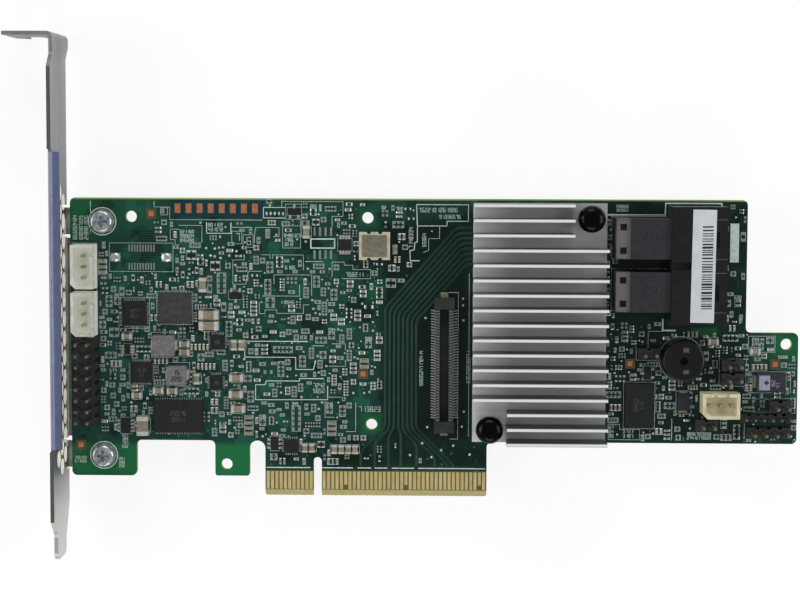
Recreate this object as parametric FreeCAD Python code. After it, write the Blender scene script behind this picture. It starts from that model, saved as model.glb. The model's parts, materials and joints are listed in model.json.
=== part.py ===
import FreeCAD, Part
import math
import os

# RAID controller card: a PCI Express x8 board of low-profile height on a full-height bracket.
# X runs along the card from the edge connector's key, Y from the contacts' lower edge up,
# and Z out of the component side, with zero on the board's component face. Millimetres.

V = FreeCAD.Vector

# --- Board ------------------------------------------------------------------------------
board_thickness = 1.57
board_length = 167.65
board_height = 68.9
bracket_edge_to_key = 57.15
body_bottom = 12.75
screw_tab_width = 15.1
screw_tab_bottom = 4.4
hook_tab_left = -23.8
hook_tab_width = 8.0
hook_tab_bottom = 4.5
hook_slot_width = 3.65
end_step_height = 38.45
end_step_length = 12.05
board_corner = 1.2
mounting_hole_diameter = 2.6
mounting_holes = [(-43.0, board_height - 4.3), (11.5, board_height - 4.4), (12.5, 16.7), (-21.1, 7.2),
                  (107.8, end_step_height - 2.6)]

# --- Edge connector ---------------------------------------------------------------------
contact_pitch = 1.0
contact_width = 0.7
contacts_before_key = 11
contacts_after_key = 38
gap_over_key = 3.0
tongue_margin = 0.65
key_width = 1.9
key_depth = 8.97
contact_top = 5.65
contact_bottom = 1.5
short_contact_bottom = 2.6
bevel_height = 1.35
bevel_depth = 0.45
contact_thickness = 0.05
short_contacts_front = [17, 31, 48]
short_contacts_back = [1]

# --- Bracket ----------------------------------------------------------------------------
sheet = 0.86
bracket_height = 120.02
bracket_top = 106.3
blade_gap = 1.45
blade_near = 14.39
blade_width = 18.42
flange_length = 11.43
flange_shift = 3.1
flange_jog_bottom = 98.4
flange_jog_height = 2.9
far_jog_rise = 2.1
jog_round = 1.0
notch_width = 4.42
notch_centre = 6.3
notch_depth = 8.0
flange_chamfer = 2.6
lip_length = 2.76
near_lip_bottom = 12.5
near_lip_top = 79.4
far_lip_inset = 0.9
tail_width = 10.19
near_shoulder = -4.0
far_shoulder = -2.4
near_taper = 3.7
far_taper = 7.4
tail_round = 2.0
bend_radius = 0.45
vent_diameter = 3.85
vent_pitch = 4.5
vent_columns = 3
vent_rows = 15
vent_first_row = 70.1
vent_centre = 4.3
tab_width = 6.2
tab_reach = 13.2
tab_relief = 0.6

# --- Bracket screws ---------------------------------------------------------------------
screw_places = [(-49.7, board_height - 5.45), (-49.7, 9.15)]
screw_diameter = 2.5
screw_head_diameter = 5.0
screw_head_height = 1.9
screw_end = 0.7
screw_hole_clearance = 0.2
thread_clearance = 0.02
recess_length = 2.7
recess_width = 0.6
recess_depth = 1.1
screw_dome = 0.55
screw_tip = 0.3

# --- Controller chip and heat sink ------------------------------------------------------
sink_centre = (50.8, 40.9)
sink_length = 30.3
base_thickness = 3.0
sink_top = 13.0
fin_count = 17
fin_pitch = 3.36
fin_thickness = 0.75
corner_clear_length = 7.7
corner_clear_fins = 3
pad_thickness = 0.25
substrate_size = 27.0
substrate_thickness = 1.25
lid_size = 21.0
lid_thickness = 1.1
pin_offset = (11.3, 23.9)
pin_shaft_diameter = 3.0
pin_hole_clearance = 0.15
pin_head_diameter = 6.2
pin_head_height = 2.4
pin_head_top = 12.0
pin_head_dome = 1.8
pin_barb_tip = 1.8
pin_barb_diameter = 3.5
pin_barb_length = 1.6
pin_split = 0.5
spring_wire = 0.5
spring_diameter = 4.9
spring_half_turns = 7
spring_end_gap = 0.05

# --- Mini SAS ports ---------------------------------------------------------------------
port_pitch = 12.0
port_centre = 54.3
shroud_back = 80.1
shroud_length = 12.5
shroud_width = 26.6
shroud_height = 10.0
port_width = 8.6
port_floor = 1.1
port_roof = 0.9
shroud_back_wall = 1.2
port_fit = 0.1
latch_window_width = 3.6
latch_window_length = 2.2
latch_window_inset = 1.9
rear_back = 67.8
rear_width = 9.1
rear_height = 9.0
nose_length = 6.4
nose_width = 7.6
nose_height = 6.4
slot_width = 6.9
slot_height = 0.9
slot_rise = 1.55
rear_step = 3.2
rear_step_drop = 0.7
rear_window = 1.5
rear_window_spread = 5.3
rear_window_depth = 2.2
slot_back_wall = 0.6
port_contact_inset = 0.5
port_contact_count = 9
port_contact_pitch = 0.75
port_contact_width = 0.4
port_contact_thickness = 0.15
label_size = (5.3, 25.4)
label_thickness = 0.1
label_turn = -0.8
label_inset = 7.1
shroud_valley_length = 5.6
shroud_valley_depth = 1.2
shroud_valley_wall = 0.9
peg_diameter = 1.6
peg_clearance = 0.1
peg_end = 0.6
peg_inset = 1.6
peg_steps = (3.75, 9.4)

# --- Three-pin shrouded headers ---------------------------------------------------------
shell_size = (5.15, 10.05)
shell_height = 6.2
shell_wall = 0.75
shell_floor = 1.6
shell_chamfer = 1.1
shell_pitch = 2.5
shell_pin_top = 5.2
shell_key_width = 0.9
shell_key_depth = 1.5
shell_key_offset = 2.8
led_header_x = -53.5
led_headers = [53.2, 42.3]
fan_header = (92.4, 22.0)
fan_header_height = 5.4
fan_shell = (8.5, 5.8)
fan_key_offset = 1.3

# --- Pin headers ------------------------------------------------------------------------
header_pitch = 2.54
header_pin = 0.64
header_base_height = 2.5
header_pin_top = 8.0
header_notch = 0.9
tall_header = (-53.2, 26.7)
tall_header_rows = 8
tall_header_base_height = 5.0
tall_header_pin_top = 10.0
jumper_headers = [(76.1, 33.7), (95.3, 31.15), (95.3, 28.0), (89.5, 17.25), (106.3, 21.65)]
four_header = (103.7, 15.6)
fine_header = (103.2, 18.9)
fine_pitch = 2.0
fine_pin = 0.5
fine_base_height = 2.0
fine_pin_top = 6.0
pin_end = 1.3
pin_hole_allowance = 0.1
solder_height = 0.8
solder_spread = 0.45
solder_tip = 0.06
pin_point = 0.25

# --- Cache module connector -------------------------------------------------------------
cache_centre = (29.2, 30.85)
cache_body = (4.7, 31.2)
cache_height = 4.0
cache_slot = (2.0, 25.9)
cache_floor = 1.0
cache_contacts = 40
cache_contact_pitch = 0.635
cache_contact_width = 0.25
cache_contact_thickness = 0.15
cache_foot = 0.7
cache_ledge = 1.1
cache_ledge_depth = 0.45
cache_stem_drop = 0.5
cache_nail_width = 1.7
cache_nail_thickness = 0.35
cache_nail_height = 2.4
cache_nail_foot = 1.0

# --- Buzzer, oscillator and chips -------------------------------------------------------
buzzer_place = (83.7, 32.4)
buzzer_diameter = 9.7
buzzer_height = 5.5
buzzer_hole = 1.8
buzzer_hole_depth = 1.5
buzzer_pin_spacing = 5.0
buzzer_pin_diameter = 0.6
buzzer_pin_seat = 1.0
buzzer_round = 0.6
oscillator_place = (13.1, board_height - 10.8)
oscillator_size = (7.1, 6.4)
oscillator_height = 1.5
oscillator_rim = 0.7
oscillator_lid = 0.3
oscillator_notch = 1.0
oscillator_notch_spread = 2.6

# centre x, centre y, size x, size y, height
flat_chips = {
    "flash_memory": [(-32.3, 18.4, 11.2, 7.6, 1.0)],
    "buffer_memory": [(74.15, 21.5, 6.8, 10.3, 1.1)],
    "power_manager": [(-33.0, 43.55, 7.5, 7.0, 1.0)],
    "regulator_chips": [(-42.35, 42.3, 5.7, 5.7, 0.9), (-40.8, 28.6, 5.0, 4.8, 0.9),
                        (-23.15, 35.7, 3.4, 3.4, 0.8), (-23.5, 26.3, 3.0, 3.5, 0.8),
                        (-6.1, 11.6, 3.4, 3.2, 1.0)],
}
chip_edge = 0.12

# leads on the chip's + side and on its - side
lead_counts = {"two_over_one": (2, 1), "one_over_two": (1, 2), "three_a_side": (3, 3), "four_a_side": (4, 4)}
# centre x, centre y, body x, body y, height, leads, pitch, leads along x
leaded_chips = [
    (-44.5, 16.1, 2.3, 3.4, 1.1, "four_a_side", 0.8, True),
    (6.25, board_height - 10.6, 2.9, 2.6, 0.9, "four_a_side", 0.65, False),
    (-18.95, 46.5, 2.9, 1.6, 1.0, "two_over_one", 1.9, False),
    (-5.4, board_height - 3.0, 2.9, 1.5, 1.0, "one_over_two", 1.9, False),
    (-44.0, 33.9, 1.4, 2.2, 0.9, "three_a_side", 0.65, True),
    (-9.95, 12.1, 1.8, 3.0, 1.0, "three_a_side", 0.95, True),
    (76.0, 29.0, 1.5, 2.7, 1.0, "two_over_one", 1.9, True),
]
lead_width = 0.35
lead_thickness = 0.15
lead_reach = 0.75
lead_rise = 0.5

# centre x, centre y, size x, size y
power_inductors = [(-35.4, 34.95, 5.2, 4.8), (-32.4, 28.1, 4.5, 4.5)]
inductor_height = 3.0
inductor_round = 0.5
strap_thickness = 0.35
strap_width = 2.2
strap_height = 1.9

# centre x, centre y, size x, size y, height; the ends lie along the longer side
ceramic_capacitors = [
    (-40.5, 16.15, 2.6, 4.4, 1.8), (-25.1, 42.0, 4.5, 2.0, 1.6), (-25.1, 39.5, 4.5, 2.0, 1.6),
    (-18.8, 27.4, 3.2, 1.6, 1.3), (-18.9, 23.6, 3.2, 1.6, 1.3), (-18.4, 20.2, 3.2, 1.6, 1.3),
    (-26.5, 48.9, 1.6, 3.2, 1.3), (-30.8, 35.2, 2.3, 1.4, 1.1), (-30.8, 33.3, 2.3, 1.4, 1.1),
    (-36.9, 24.3, 2.4, 1.4, 1.1), (-33.7, 24.3, 2.4, 1.4, 1.1), (-44.1, 36.9, 2.3, 1.3, 1.1),
    (-41.9, 23.2, 2.3, 1.3, 1.1), (-28.0, 27.1, 1.3, 2.4, 1.1), (-19.3, 35.0, 1.3, 2.3, 1.1),
    (-17.6, 35.0, 1.3, 2.3, 1.1), (3.9, 10.9, 1.3, 2.0, 1.1), (5.5, 10.9, 1.3, 2.0, 1.1),
    (7.1, 10.9, 1.3, 2.0, 1.1), (8.7, 10.9, 1.3, 2.0, 1.1), (-2.9, 11.2, 1.2, 2.0, 1.1),
    (-1.3, 11.2, 1.2, 2.0, 1.1), (100.6, 34.2, 2.3, 1.3, 1.1), (91.0, 36.4, 2.3, 1.3, 1.1),
    (-2.6, board_height - 7.7, 1.5, 2.8, 1.3),
]
capacitor_end_share = 0.22
capacitor_end_skin = 0.05

# centre x, centre y, size x, size y, height
moulded_parts = [(104.05, 27.25, 6.6, 4.3, 2.9), (84.3, 22.5, 2.7, 4.0, 1.4)]
moulded_terminal_thickness = 0.4
moulded_terminal_share = 0.62

# --- Bare pads on the board -------------------------------------------------------------
test_pads = 8
test_pad_first = (-32.3, board_height - 2.35)
test_pad_pitch = 2.55
test_pad_size = (1.35, 2.2)
square_pads = [(-38.4, board_height - 3.65), (-55.0, 11.5), (10.5, 28.45), (72.0, 31.2), (105.3, 31.2)]
square_pad = 2.3
bare_pad_thickness = 0.04

# --- Derived places ---------------------------------------------------------------------
board_left = -bracket_edge_to_key
board_right = board_left + board_length
board_back = -board_thickness
before_key_x = -(gap_over_key / 2 + (contacts_before_key - 1) * contact_pitch)
after_key_x = gap_over_key / 2 + (contacts_after_key - 1) * contact_pitch
tongue_left = before_key_x - tongue_margin
tongue_right = after_key_x + tongue_margin
blade_inner = board_left - blade_gap
blade_outer = blade_inner - sheet
blade_far = blade_near - blade_width
tab_back = board_back - sheet
chip_top = substrate_thickness + lid_thickness
base_bottom = chip_top + pad_thickness
base_top = base_bottom + base_thickness
sink_width = (fin_count - 1) * fin_pitch + fin_thickness
sink_pins = [(sink_centre[0] + side * pin_offset[0], sink_centre[1] + side * pin_offset[1])
             for side in (1, -1)]
port_rows = [port_centre + side * port_pitch / 2 for side in (1, -1)]
shroud_front = shroud_back + shroud_length
nose_z = port_floor + (shroud_height - port_floor - port_roof - nose_height) / 2


# --- Helpers ----------------------------------------------------------------------------
def block(x0, x1, y0, y1, z0, z1):
    return Part.makeBox(x1 - x0, y1 - y0, z1 - z0, V(x0, y0, z0))


def centred_block(place, size, z0, z1):
    half_x = size[0] / 2
    half_y = size[1] / 2
    return block(place[0] - half_x, place[0] + half_x, place[1] - half_y, place[1] + half_y, z0, z1)


def rod(place, diameter, z0, z1):
    return Part.makeCylinder(diameter / 2, z1 - z0, V(place[0], place[1], z0))


def joined(solids):
    first = solids[0]
    if len(solids) == 1:
        return first
    return first.fuse(solids[1:]).removeSplitter()


def without(solid, tools):
    return solid.cut(tools)


def rounded_outline(points):
    """A closed flat face from (x, y, radius) corners, each rounded by its own arc."""
    edges = []
    count = len(points)
    starts = []
    ends = []
    middles = []
    for i, (x, y, radius) in enumerate(points):
        corner = V(x, y, 0)
        back = V(points[i - 1][0], points[i - 1][1], 0) - corner
        ahead = V(points[(i + 1) % count][0], points[(i + 1) % count][1], 0) - corner
        back.normalize()
        ahead.normalize()
        if radius == 0:
            starts.append(corner)
            ends.append(corner)
            middles.append(None)
            continue
        half_angle = back.getAngle(ahead) / 2
        reach = radius / math.tan(half_angle)
        bisector = back + ahead
        bisector.normalize()
        centre = corner + bisector * (radius / math.sin(half_angle))
        starts.append(corner + back * reach)
        ends.append(corner + ahead * reach)
        middles.append(centre - bisector * radius)
    for i in range(count):
        if middles[i] is not None:
            edges.append(Part.Arc(starts[i], middles[i], ends[i]).toShape())
        following = starts[(i + 1) % count]
        if ends[i].distanceToPoint(following) > 1e-6:
            edges.append(Part.LineSegment(ends[i], following).toShape())
    return Part.Face(Part.Wire(edges))


def slab(points, z0, z1):
    face = rounded_outline(points)
    face.translate(V(0, 0, z0))
    return face.extrude(V(0, 0, z1 - z0))


def export(name, solids):
    shape = solids[0] if len(solids) == 1 else Part.makeCompound(solids)
    shape.exportStep(f"parts/{name}.step")
    print(name, len(shape.Solids), round(shape.Volume, 2))


# --- Where the pins go through the board ------------------------------------------------
def row_of(place, count, pitch, along_x=True):
    first = -(count - 1) * pitch / 2
    steps = [first + i * pitch for i in range(count)]
    if along_x:
        return [(place[0] + step, place[1]) for step in steps]
    return [(place[0], place[1] + step) for step in steps]


tall_header_pins = [pin for side in (-1, 1)
                    for pin in row_of((tall_header[0] + side * header_pitch / 2, tall_header[1]),
                                      tall_header_rows, header_pitch, along_x=False)]
jumper_pins = [pin for place in jumper_headers for pin in row_of(place, 2, header_pitch)]
four_pins = row_of(four_header, 4, header_pitch)
fine_pins = row_of(fine_header, 6, fine_pitch)
led_pins = [pin for y in led_headers
            for pin in row_of((led_header_x, y), 3, shell_pitch, along_x=False)]
fan_pins = row_of(fan_header, 3, shell_pitch)
square_pins = tall_header_pins + jumper_pins + four_pins + led_pins + fan_pins
buzzer_pins = row_of(buzzer_place, 2, buzzer_pin_spacing)
shroud_pegs = [(shroud_back + step, port_centre + side * (shroud_width / 2 - peg_inset))
               for step in peg_steps for side in (-1, 1)]


def square_pin(place, width, z0, z1):
    """A straight header pin with pointed ends."""
    pin = centred_block(place, (width, width), z0, z1)
    ends = [edge for edge in pin.Edges
            if abs(edge.BoundBox.ZMin - edge.BoundBox.ZMax) < 1e-6]
    return pin.makeChamfer(width * pin_point, ends)


# --- Board and contacts -----------------------------------------------------------------
def board():
    r = board_corner
    slot_left = hook_tab_left + hook_tab_width
    tab_right = board_left + screw_tab_width
    step_x = board_right - end_step_length
    outline = [
        (board_left, screw_tab_bottom, r), (tab_right, screw_tab_bottom, r),
        (tab_right, body_bottom, r), (hook_tab_left, body_bottom, r),
        (hook_tab_left, hook_tab_bottom, r / 2), (slot_left, hook_tab_bottom, r / 2),
        (slot_left, body_bottom, hook_slot_width / 2), (tongue_left, body_bottom, hook_slot_width / 2),
        (tongue_left, 0, r / 2), (-key_width / 2, 0, 0),
        (-key_width / 2, key_depth, key_width / 2), (key_width / 2, key_depth, key_width / 2),
        (key_width / 2, 0, 0), (tongue_right, 0, r / 2),
        (tongue_right, body_bottom, r), (board_right, body_bottom, r),
        (board_right, end_step_height, r), (step_x, end_step_height, r),
        (step_x, board_height, r), (board_left, board_height, r),
    ]
    plate = slab(outline, board_back, 0)
    tools = [rod(place, mounting_hole_diameter, board_back, 0) for place in mounting_holes]
    screw_hole = screw_diameter + 2 * screw_hole_clearance
    tools += [rod(place, screw_hole, board_back, 0) for place in screw_places]
    pin_hole = pin_shaft_diameter + 2 * pin_hole_clearance
    tools += [rod(place, pin_hole, board_back, 0) for place in sink_pins]
    square_hole = header_pin * math.sqrt(2) + pin_hole_allowance
    tools += [rod(place, square_hole, board_back, 0) for place in square_pins]
    fine_hole = fine_pin * math.sqrt(2) + pin_hole_allowance
    tools += [rod(place, fine_hole, board_back, 0) for place in fine_pins]
    buzzer_drill = buzzer_pin_diameter + pin_hole_allowance
    tools += [rod(place, buzzer_drill, board_back, 0) for place in buzzer_pins]
    peg_hole = peg_diameter + 2 * peg_clearance
    tools += [rod(place, peg_hole, board_back, 0) for place in shroud_pegs]
    plate = without(plate, tools)
    for face, inward in ((0, -1), (board_back, 1)):
        corners = [V(tongue_left - 1, 0, face), V(tongue_left - 1, bevel_height, face),
                   V(tongue_left - 1, 0, face + inward * bevel_depth)]
        wedge = Part.Face(Part.makePolygon(corners + [corners[0]]))
        plate = without(plate, wedge.extrude(V(tongue_right - tongue_left + 2, 0, 0)))
    return [plate]


def contact_x(number):
    if number <= contacts_before_key:
        return before_key_x + (number - 1) * contact_pitch
    return gap_over_key / 2 + (number - contacts_before_key - 1) * contact_pitch


def edge_contacts(z0, z1, short_ones):
    pads = []
    for number in range(1, contacts_before_key + contacts_after_key + 1):
        bottom = short_contact_bottom if number in short_ones else contact_bottom
        x = contact_x(number)
        pads.append(block(x - contact_width / 2, x + contact_width / 2, bottom, contact_top, z0, z1))
    return pads


def bare_pads():
    pads = []
    for i in range(test_pads):
        place = (test_pad_first[0] + i * test_pad_pitch, test_pad_first[1])
        pads.append(centred_block(place, test_pad_size, 0, bare_pad_thickness))
    for place in square_pads:
        pads.append(centred_block(place, (square_pad, square_pad), 0, bare_pad_thickness))
    return pads


# --- Bracket ----------------------------------------------------------------------------
def blade_plate():
    """The flat of the bracket, drawn in Z and Y and laid against the board's end."""
    tail_end = bracket_top - bracket_height
    middle = blade_near - blade_width / 2
    tail_near = middle + tail_width / 2
    tail_far = middle - tail_width / 2
    jog_top = flange_jog_bottom + flange_jog_height
    far_jog = flange_jog_bottom + far_jog_rise
    far_jog_top = jog_top + far_jog_rise
    outline = [
        (blade_near, near_shoulder, 0), (blade_near, flange_jog_bottom, jog_round),
        (blade_near - flange_shift, jog_top, jog_round), (blade_near - flange_shift, bracket_top, 0),
        (blade_far - flange_shift, bracket_top, 0), (blade_far - flange_shift, far_jog_top, jog_round),
        (blade_far, far_jog, jog_round), (blade_far, far_shoulder, 0),
        (tail_far, far_shoulder - far_taper, tail_round),
        (tail_far, tail_end, tail_round), (tail_near, tail_end, tail_round),
        (tail_near, near_shoulder - near_taper, tail_round),
    ]
    face = rounded_outline(outline)
    plate = face.extrude(V(0, 0, -sheet))
    plate.rotate(V(0, 0, 0), V(0, 1, 0), -90)
    plate.translate(V(blade_outer, 0, 0))
    return plate


def folded_strip(corner_z, direction, length, y0, y1):
    """A strip folded at right angles off the blade at corner_z, its bend rounded inside and out."""
    outer = bend_radius + sheet
    inner_z = corner_z + direction * sheet
    start_z = corner_z + direction * outer
    points = [
        (blade_outer, start_z, 0), (blade_outer, corner_z, outer),
        (blade_outer + length, corner_z, 0), (blade_outer + length, inner_z, 0),
        (blade_inner, inner_z, bend_radius), (blade_inner, start_z, 0),
    ]
    face = rounded_outline(points)
    # drawn in X and Z, then turned so that its width lies along Y
    strip = face.extrude(V(0, 0, y0 - y1))
    strip.rotate(V(0, 0, 0), V(1, 0, 0), 90)
    strip.translate(V(0, y0, 0))
    return strip


def vent_holes():
    holes = []
    column_gap = vent_pitch * math.sqrt(3) / 2
    for column in range(vent_columns):
        z = vent_centre + (column - (vent_columns - 1) / 2) * column_gap
        staggered = column % 2 == 0
        rows = vent_rows - 1 if staggered else vent_rows
        first = vent_first_row - (vent_pitch / 2 if staggered else 0)
        for row in range(rows):
            start = V(blade_outer - 1, first - row * vent_pitch, z)
            holes.append(Part.makeCylinder(vent_diameter / 2, sheet + 2, start, V(1, 0, 0)))
    return holes


def bracket():
    blade = blade_plate()
    outer = bend_radius + sheet
    # the blade stops where each fold's bend begins
    cuts = [block(blade_outer - 1, blade_inner + 1, near_lip_bottom - tab_relief,
                  near_lip_top + tab_relief, blade_near - outer, blade_near + 1),
            block(blade_outer - 1, blade_inner + 1, bracket_top - outer, bracket_top + 1,
                  blade_far - flange_shift - 1, blade_near + 1)]
    pieces = [folded_strip(blade_near, -1, lip_length, near_lip_bottom, near_lip_top)]
    tab_edges = []
    for x, y in screw_places:
        low = y - tab_width / 2
        high = y + tab_width / 2
        tab_edges += [low, high]
        cuts.append(block(blade_outer - 1, blade_inner + 1, low - tab_relief, high + tab_relief,
                          blade_far - 1, tab_back + outer))
        pieces.append(folded_strip(tab_back, 1, tab_reach, low, high))
    far_lip_top = min(tab_edges[0], tab_edges[1]) - far_lip_inset
    far_lip_bottom = max(tab_edges[2], tab_edges[3]) + far_lip_inset
    cuts.append(block(blade_outer - 1, blade_inner + 1, far_lip_bottom, far_lip_top,
                      blade_far - 1, blade_far + outer))
    pieces.append(folded_strip(blade_far, 1, lip_length, far_lip_bottom, far_lip_top))
    blade = without(blade, cuts + vent_holes())
    flange_low = bracket_top - sheet
    flange_near = blade_near - flange_shift
    flange_far = blade_far - flange_shift
    flange_end = blade_inner - flange_length
    bend_start = bracket_top - outer
    flange = slab([
        (blade_inner, bend_start, 0), (blade_inner, bracket_top, outer), (flange_end, bracket_top, 0),
        (flange_end, flange_low, 0), (blade_outer, flange_low, bend_radius), (blade_outer, bend_start, 0),
    ], flange_far, flange_near)
    notch_x = blade_inner - notch_centre
    half = notch_width / 2
    notch = block(notch_x - half, notch_x + half, flange_low - 1, bracket_top + 1,
                  flange_far - 1, flange_far + notch_depth - half)
    round_end = Part.makeCylinder(half, sheet + 2, V(notch_x, flange_low - 1,
                                                     flange_far + notch_depth - half), V(0, 1, 0))
    c = flange_chamfer
    corner = Part.Face(Part.makePolygon([
        V(flange_end - 1, flange_low - 1, flange_far - 1), V(flange_end + c, flange_low - 1, flange_far - 1),
        V(flange_end + c, flange_low - 1, flange_far), V(flange_end, flange_low - 1, flange_far + c),
        V(flange_end - 1, flange_low - 1, flange_far + c),
        V(flange_end - 1, flange_low - 1, flange_far - 1)])).extrude(V(0, sheet + 2, 0))
    flange = without(flange, [notch, round_end, corner])
    body = joined([blade, flange] + pieces)
    tapped = screw_diameter + 2 * thread_clearance
    body = without(body, [rod(place, tapped, tab_back - 1, board_back + 1) for place in screw_places])
    return [body]


def bracket_screws():
    screws = []
    for place in screw_places:
        x, y = place
        head = rod(place, screw_head_diameter, 0, screw_head_height)
        head = head.makeFillet(screw_dome, [edge for edge in head.Edges
                                      if abs(edge.BoundBox.ZMin - screw_head_height) < 1e-6])
        shank = rod(place, screw_diameter, tab_back - screw_end, 0)
        shank = shank.makeChamfer(screw_tip, [edge for edge in shank.Edges
                                        if abs(edge.BoundBox.ZMax - (tab_back - screw_end)) < 1e-6])
        long = recess_length / 2
        thin = recess_width / 2
        floor = screw_head_height - recess_depth
        cross = [block(x - long, x + long, y - thin, y + thin, floor, screw_head_height + 1),
                 block(x - thin, x + thin, y - long, y + long, floor, screw_head_height + 1)]
        screws.append(without(joined([head, shank]), cross))
    return screws


# --- Controller chip and heat sink ------------------------------------------------------
def heat_sink():
    cx, cy = sink_centre
    left = cx - sink_length / 2
    right = cx + sink_length / 2
    low = cy - sink_width / 2
    body = [block(left, right, low, low + sink_width, base_bottom, base_top)]
    for i in range(fin_count):
        y = low + i * fin_pitch
        x0 = left + (corner_clear_length if i < corner_clear_fins else 0)
        x1 = right - (corner_clear_length if i >= fin_count - corner_clear_fins else 0)
        body.append(block(x0, x1, y, y + fin_thickness, base_top, sink_top))
    sink = joined(body)
    hole = pin_shaft_diameter + 2 * pin_hole_clearance
    return [without(sink, [rod(place, hole, base_bottom, base_top) for place in sink_pins])]


def push_pins():
    pins = []
    head_bottom = pin_head_top - pin_head_height
    for place in sink_pins:
        head = rod(place, pin_head_diameter, head_bottom, pin_head_top)
        head = head.makeFillet(pin_head_dome, [edge for edge in head.Edges
                                                        if abs(edge.BoundBox.ZMin - pin_head_top) < 1e-6])
        shaft = rod(place, pin_shaft_diameter, board_back, head_bottom)
        barb = Part.makeCone(pin_barb_tip / 2, pin_barb_diameter / 2, pin_barb_length,
                             V(place[0], place[1], board_back - pin_barb_length))
        split = centred_block(place, (pin_split, pin_barb_diameter + 1),
                              board_back - pin_barb_length - 1, 0)
        pins.append(without(joined([head, shaft, barb]), [split]))
    return pins


def push_pin_springs():
    """Half rings tilted to and fro, each ending where the next begins, make the coil."""
    springs = []
    low = base_top + spring_wire / 2 + spring_end_gap
    high = pin_head_top - pin_head_height - spring_wire / 2 - spring_end_gap
    radius = (spring_diameter - spring_wire) / 2
    rise = (high - low) / spring_half_turns
    tilt = math.atan(rise / (2 * radius))
    half_ring = Part.makeTorus(radius / math.cos(tilt), spring_wire / 2, V(0, 0, 0), V(0, 0, 1), 0, 360, 180)
    for place in sink_pins:
        halves = []
        for i in range(spring_half_turns):
            half = half_ring.copy()
            half.rotate(V(0, 0, 0), V(0, 0, 1), 180 * (i % 2))
            half.rotate(V(0, 0, 0), V(0, 1, 0), math.degrees(tilt) * (1 - 2 * (i % 2)))
            half.translate(V(place[0], place[1], low + rise * (i + 0.5)))
            halves.append(half)
        springs.append(joined(halves))
    return springs


# --- Ports ------------------------------------------------------------------------------
def port_shroud():
    low = port_centre - shroud_width / 2
    body = block(shroud_back, shroud_front, low, low + shroud_width, 0, shroud_height)
    cuts = []
    for y in port_rows:
        half = port_width / 2
        cuts.append(block(shroud_back + shroud_back_wall, shroud_front + 1, y - half, y + half,
                          port_floor, shroud_height - port_roof))
        opening = nose_width / 2 + port_fit
        cuts.append(block(shroud_back - 1, shroud_back + shroud_back_wall + 1, y - opening, y + opening,
                          nose_z - port_fit, nose_z + nose_height + port_fit))
        window = latch_window_width / 2
        front = shroud_front - latch_window_inset
        cuts.append(block(front - latch_window_length, front, y - window, y + window,
                          shroud_height - port_roof - 1, shroud_height + 1))
    valley = port_pitch / 2 - port_width / 2 - shroud_valley_wall
    cuts.append(block(shroud_back - 1, shroud_back + shroud_valley_length, port_centre - valley,
                      port_centre + valley, shroud_height - shroud_valley_depth, shroud_height + 1))
    pegs = [rod(place, peg_diameter, board_back - peg_end, 0) for place in shroud_pegs]
    return [joined([without(body, cuts)] + pegs)]


def port_housings():
    housings = []
    for y in port_rows:
        half = rear_width / 2
        rear = block(rear_back, shroud_back, y - half, y + half, 0, rear_height)
        step = block(rear_back - 1, rear_back + rear_step, y - half - 1, y + half + 1,
                     rear_height - rear_step_drop, rear_height + 1)
        nose_half = nose_width / 2
        nose = block(shroud_back, shroud_back + nose_length, y - nose_half, y + nose_half,
                     nose_z, nose_z + nose_height)
        cuts = [step]
        for side in (-1, 1):
            z = nose_z + nose_height / 2 + side * slot_rise
            cuts.append(block(shroud_back + slot_back_wall, shroud_back + nose_length + 1, y - slot_width / 2,
                              y + slot_width / 2, z - slot_height / 2, z + slot_height / 2))
            place = (rear_back + rear_step / 2, y + side * rear_window_spread / 2)
            cuts.append(centred_block(place, (rear_window, rear_window), rear_height - rear_window_depth,
                                      rear_height + 1))
        housings.append(without(joined([rear, nose]), cuts))
    return housings


def port_contacts():
    contacts = []
    inner = shroud_back + slot_back_wall
    outer = shroud_back + nose_length - port_contact_inset
    for y in port_rows:
        for side in (-1, 1):
            middle = nose_z + nose_height / 2 + side * slot_rise
            for place in row_of((0, y), port_contact_count, port_contact_pitch, along_x=False):
                half = port_contact_width / 2
                for face in (-1, 1):
                    wall = middle + face * slot_height / 2
                    inside = wall - face * port_contact_thickness
                    contacts.append(block(inner, outer, place[1] - half, place[1] + half,
                                          min(wall, inside), max(wall, inside)))
    return contacts


def port_label():
    place = (shroud_back + label_inset, port_centre)
    label = centred_block((0, 0), label_size, shroud_height, shroud_height + label_thickness)
    label.rotate(V(0, 0, 0), V(0, 0, 1), label_turn)
    label.translate(V(place[0], place[1], 0))
    return [label]


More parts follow.
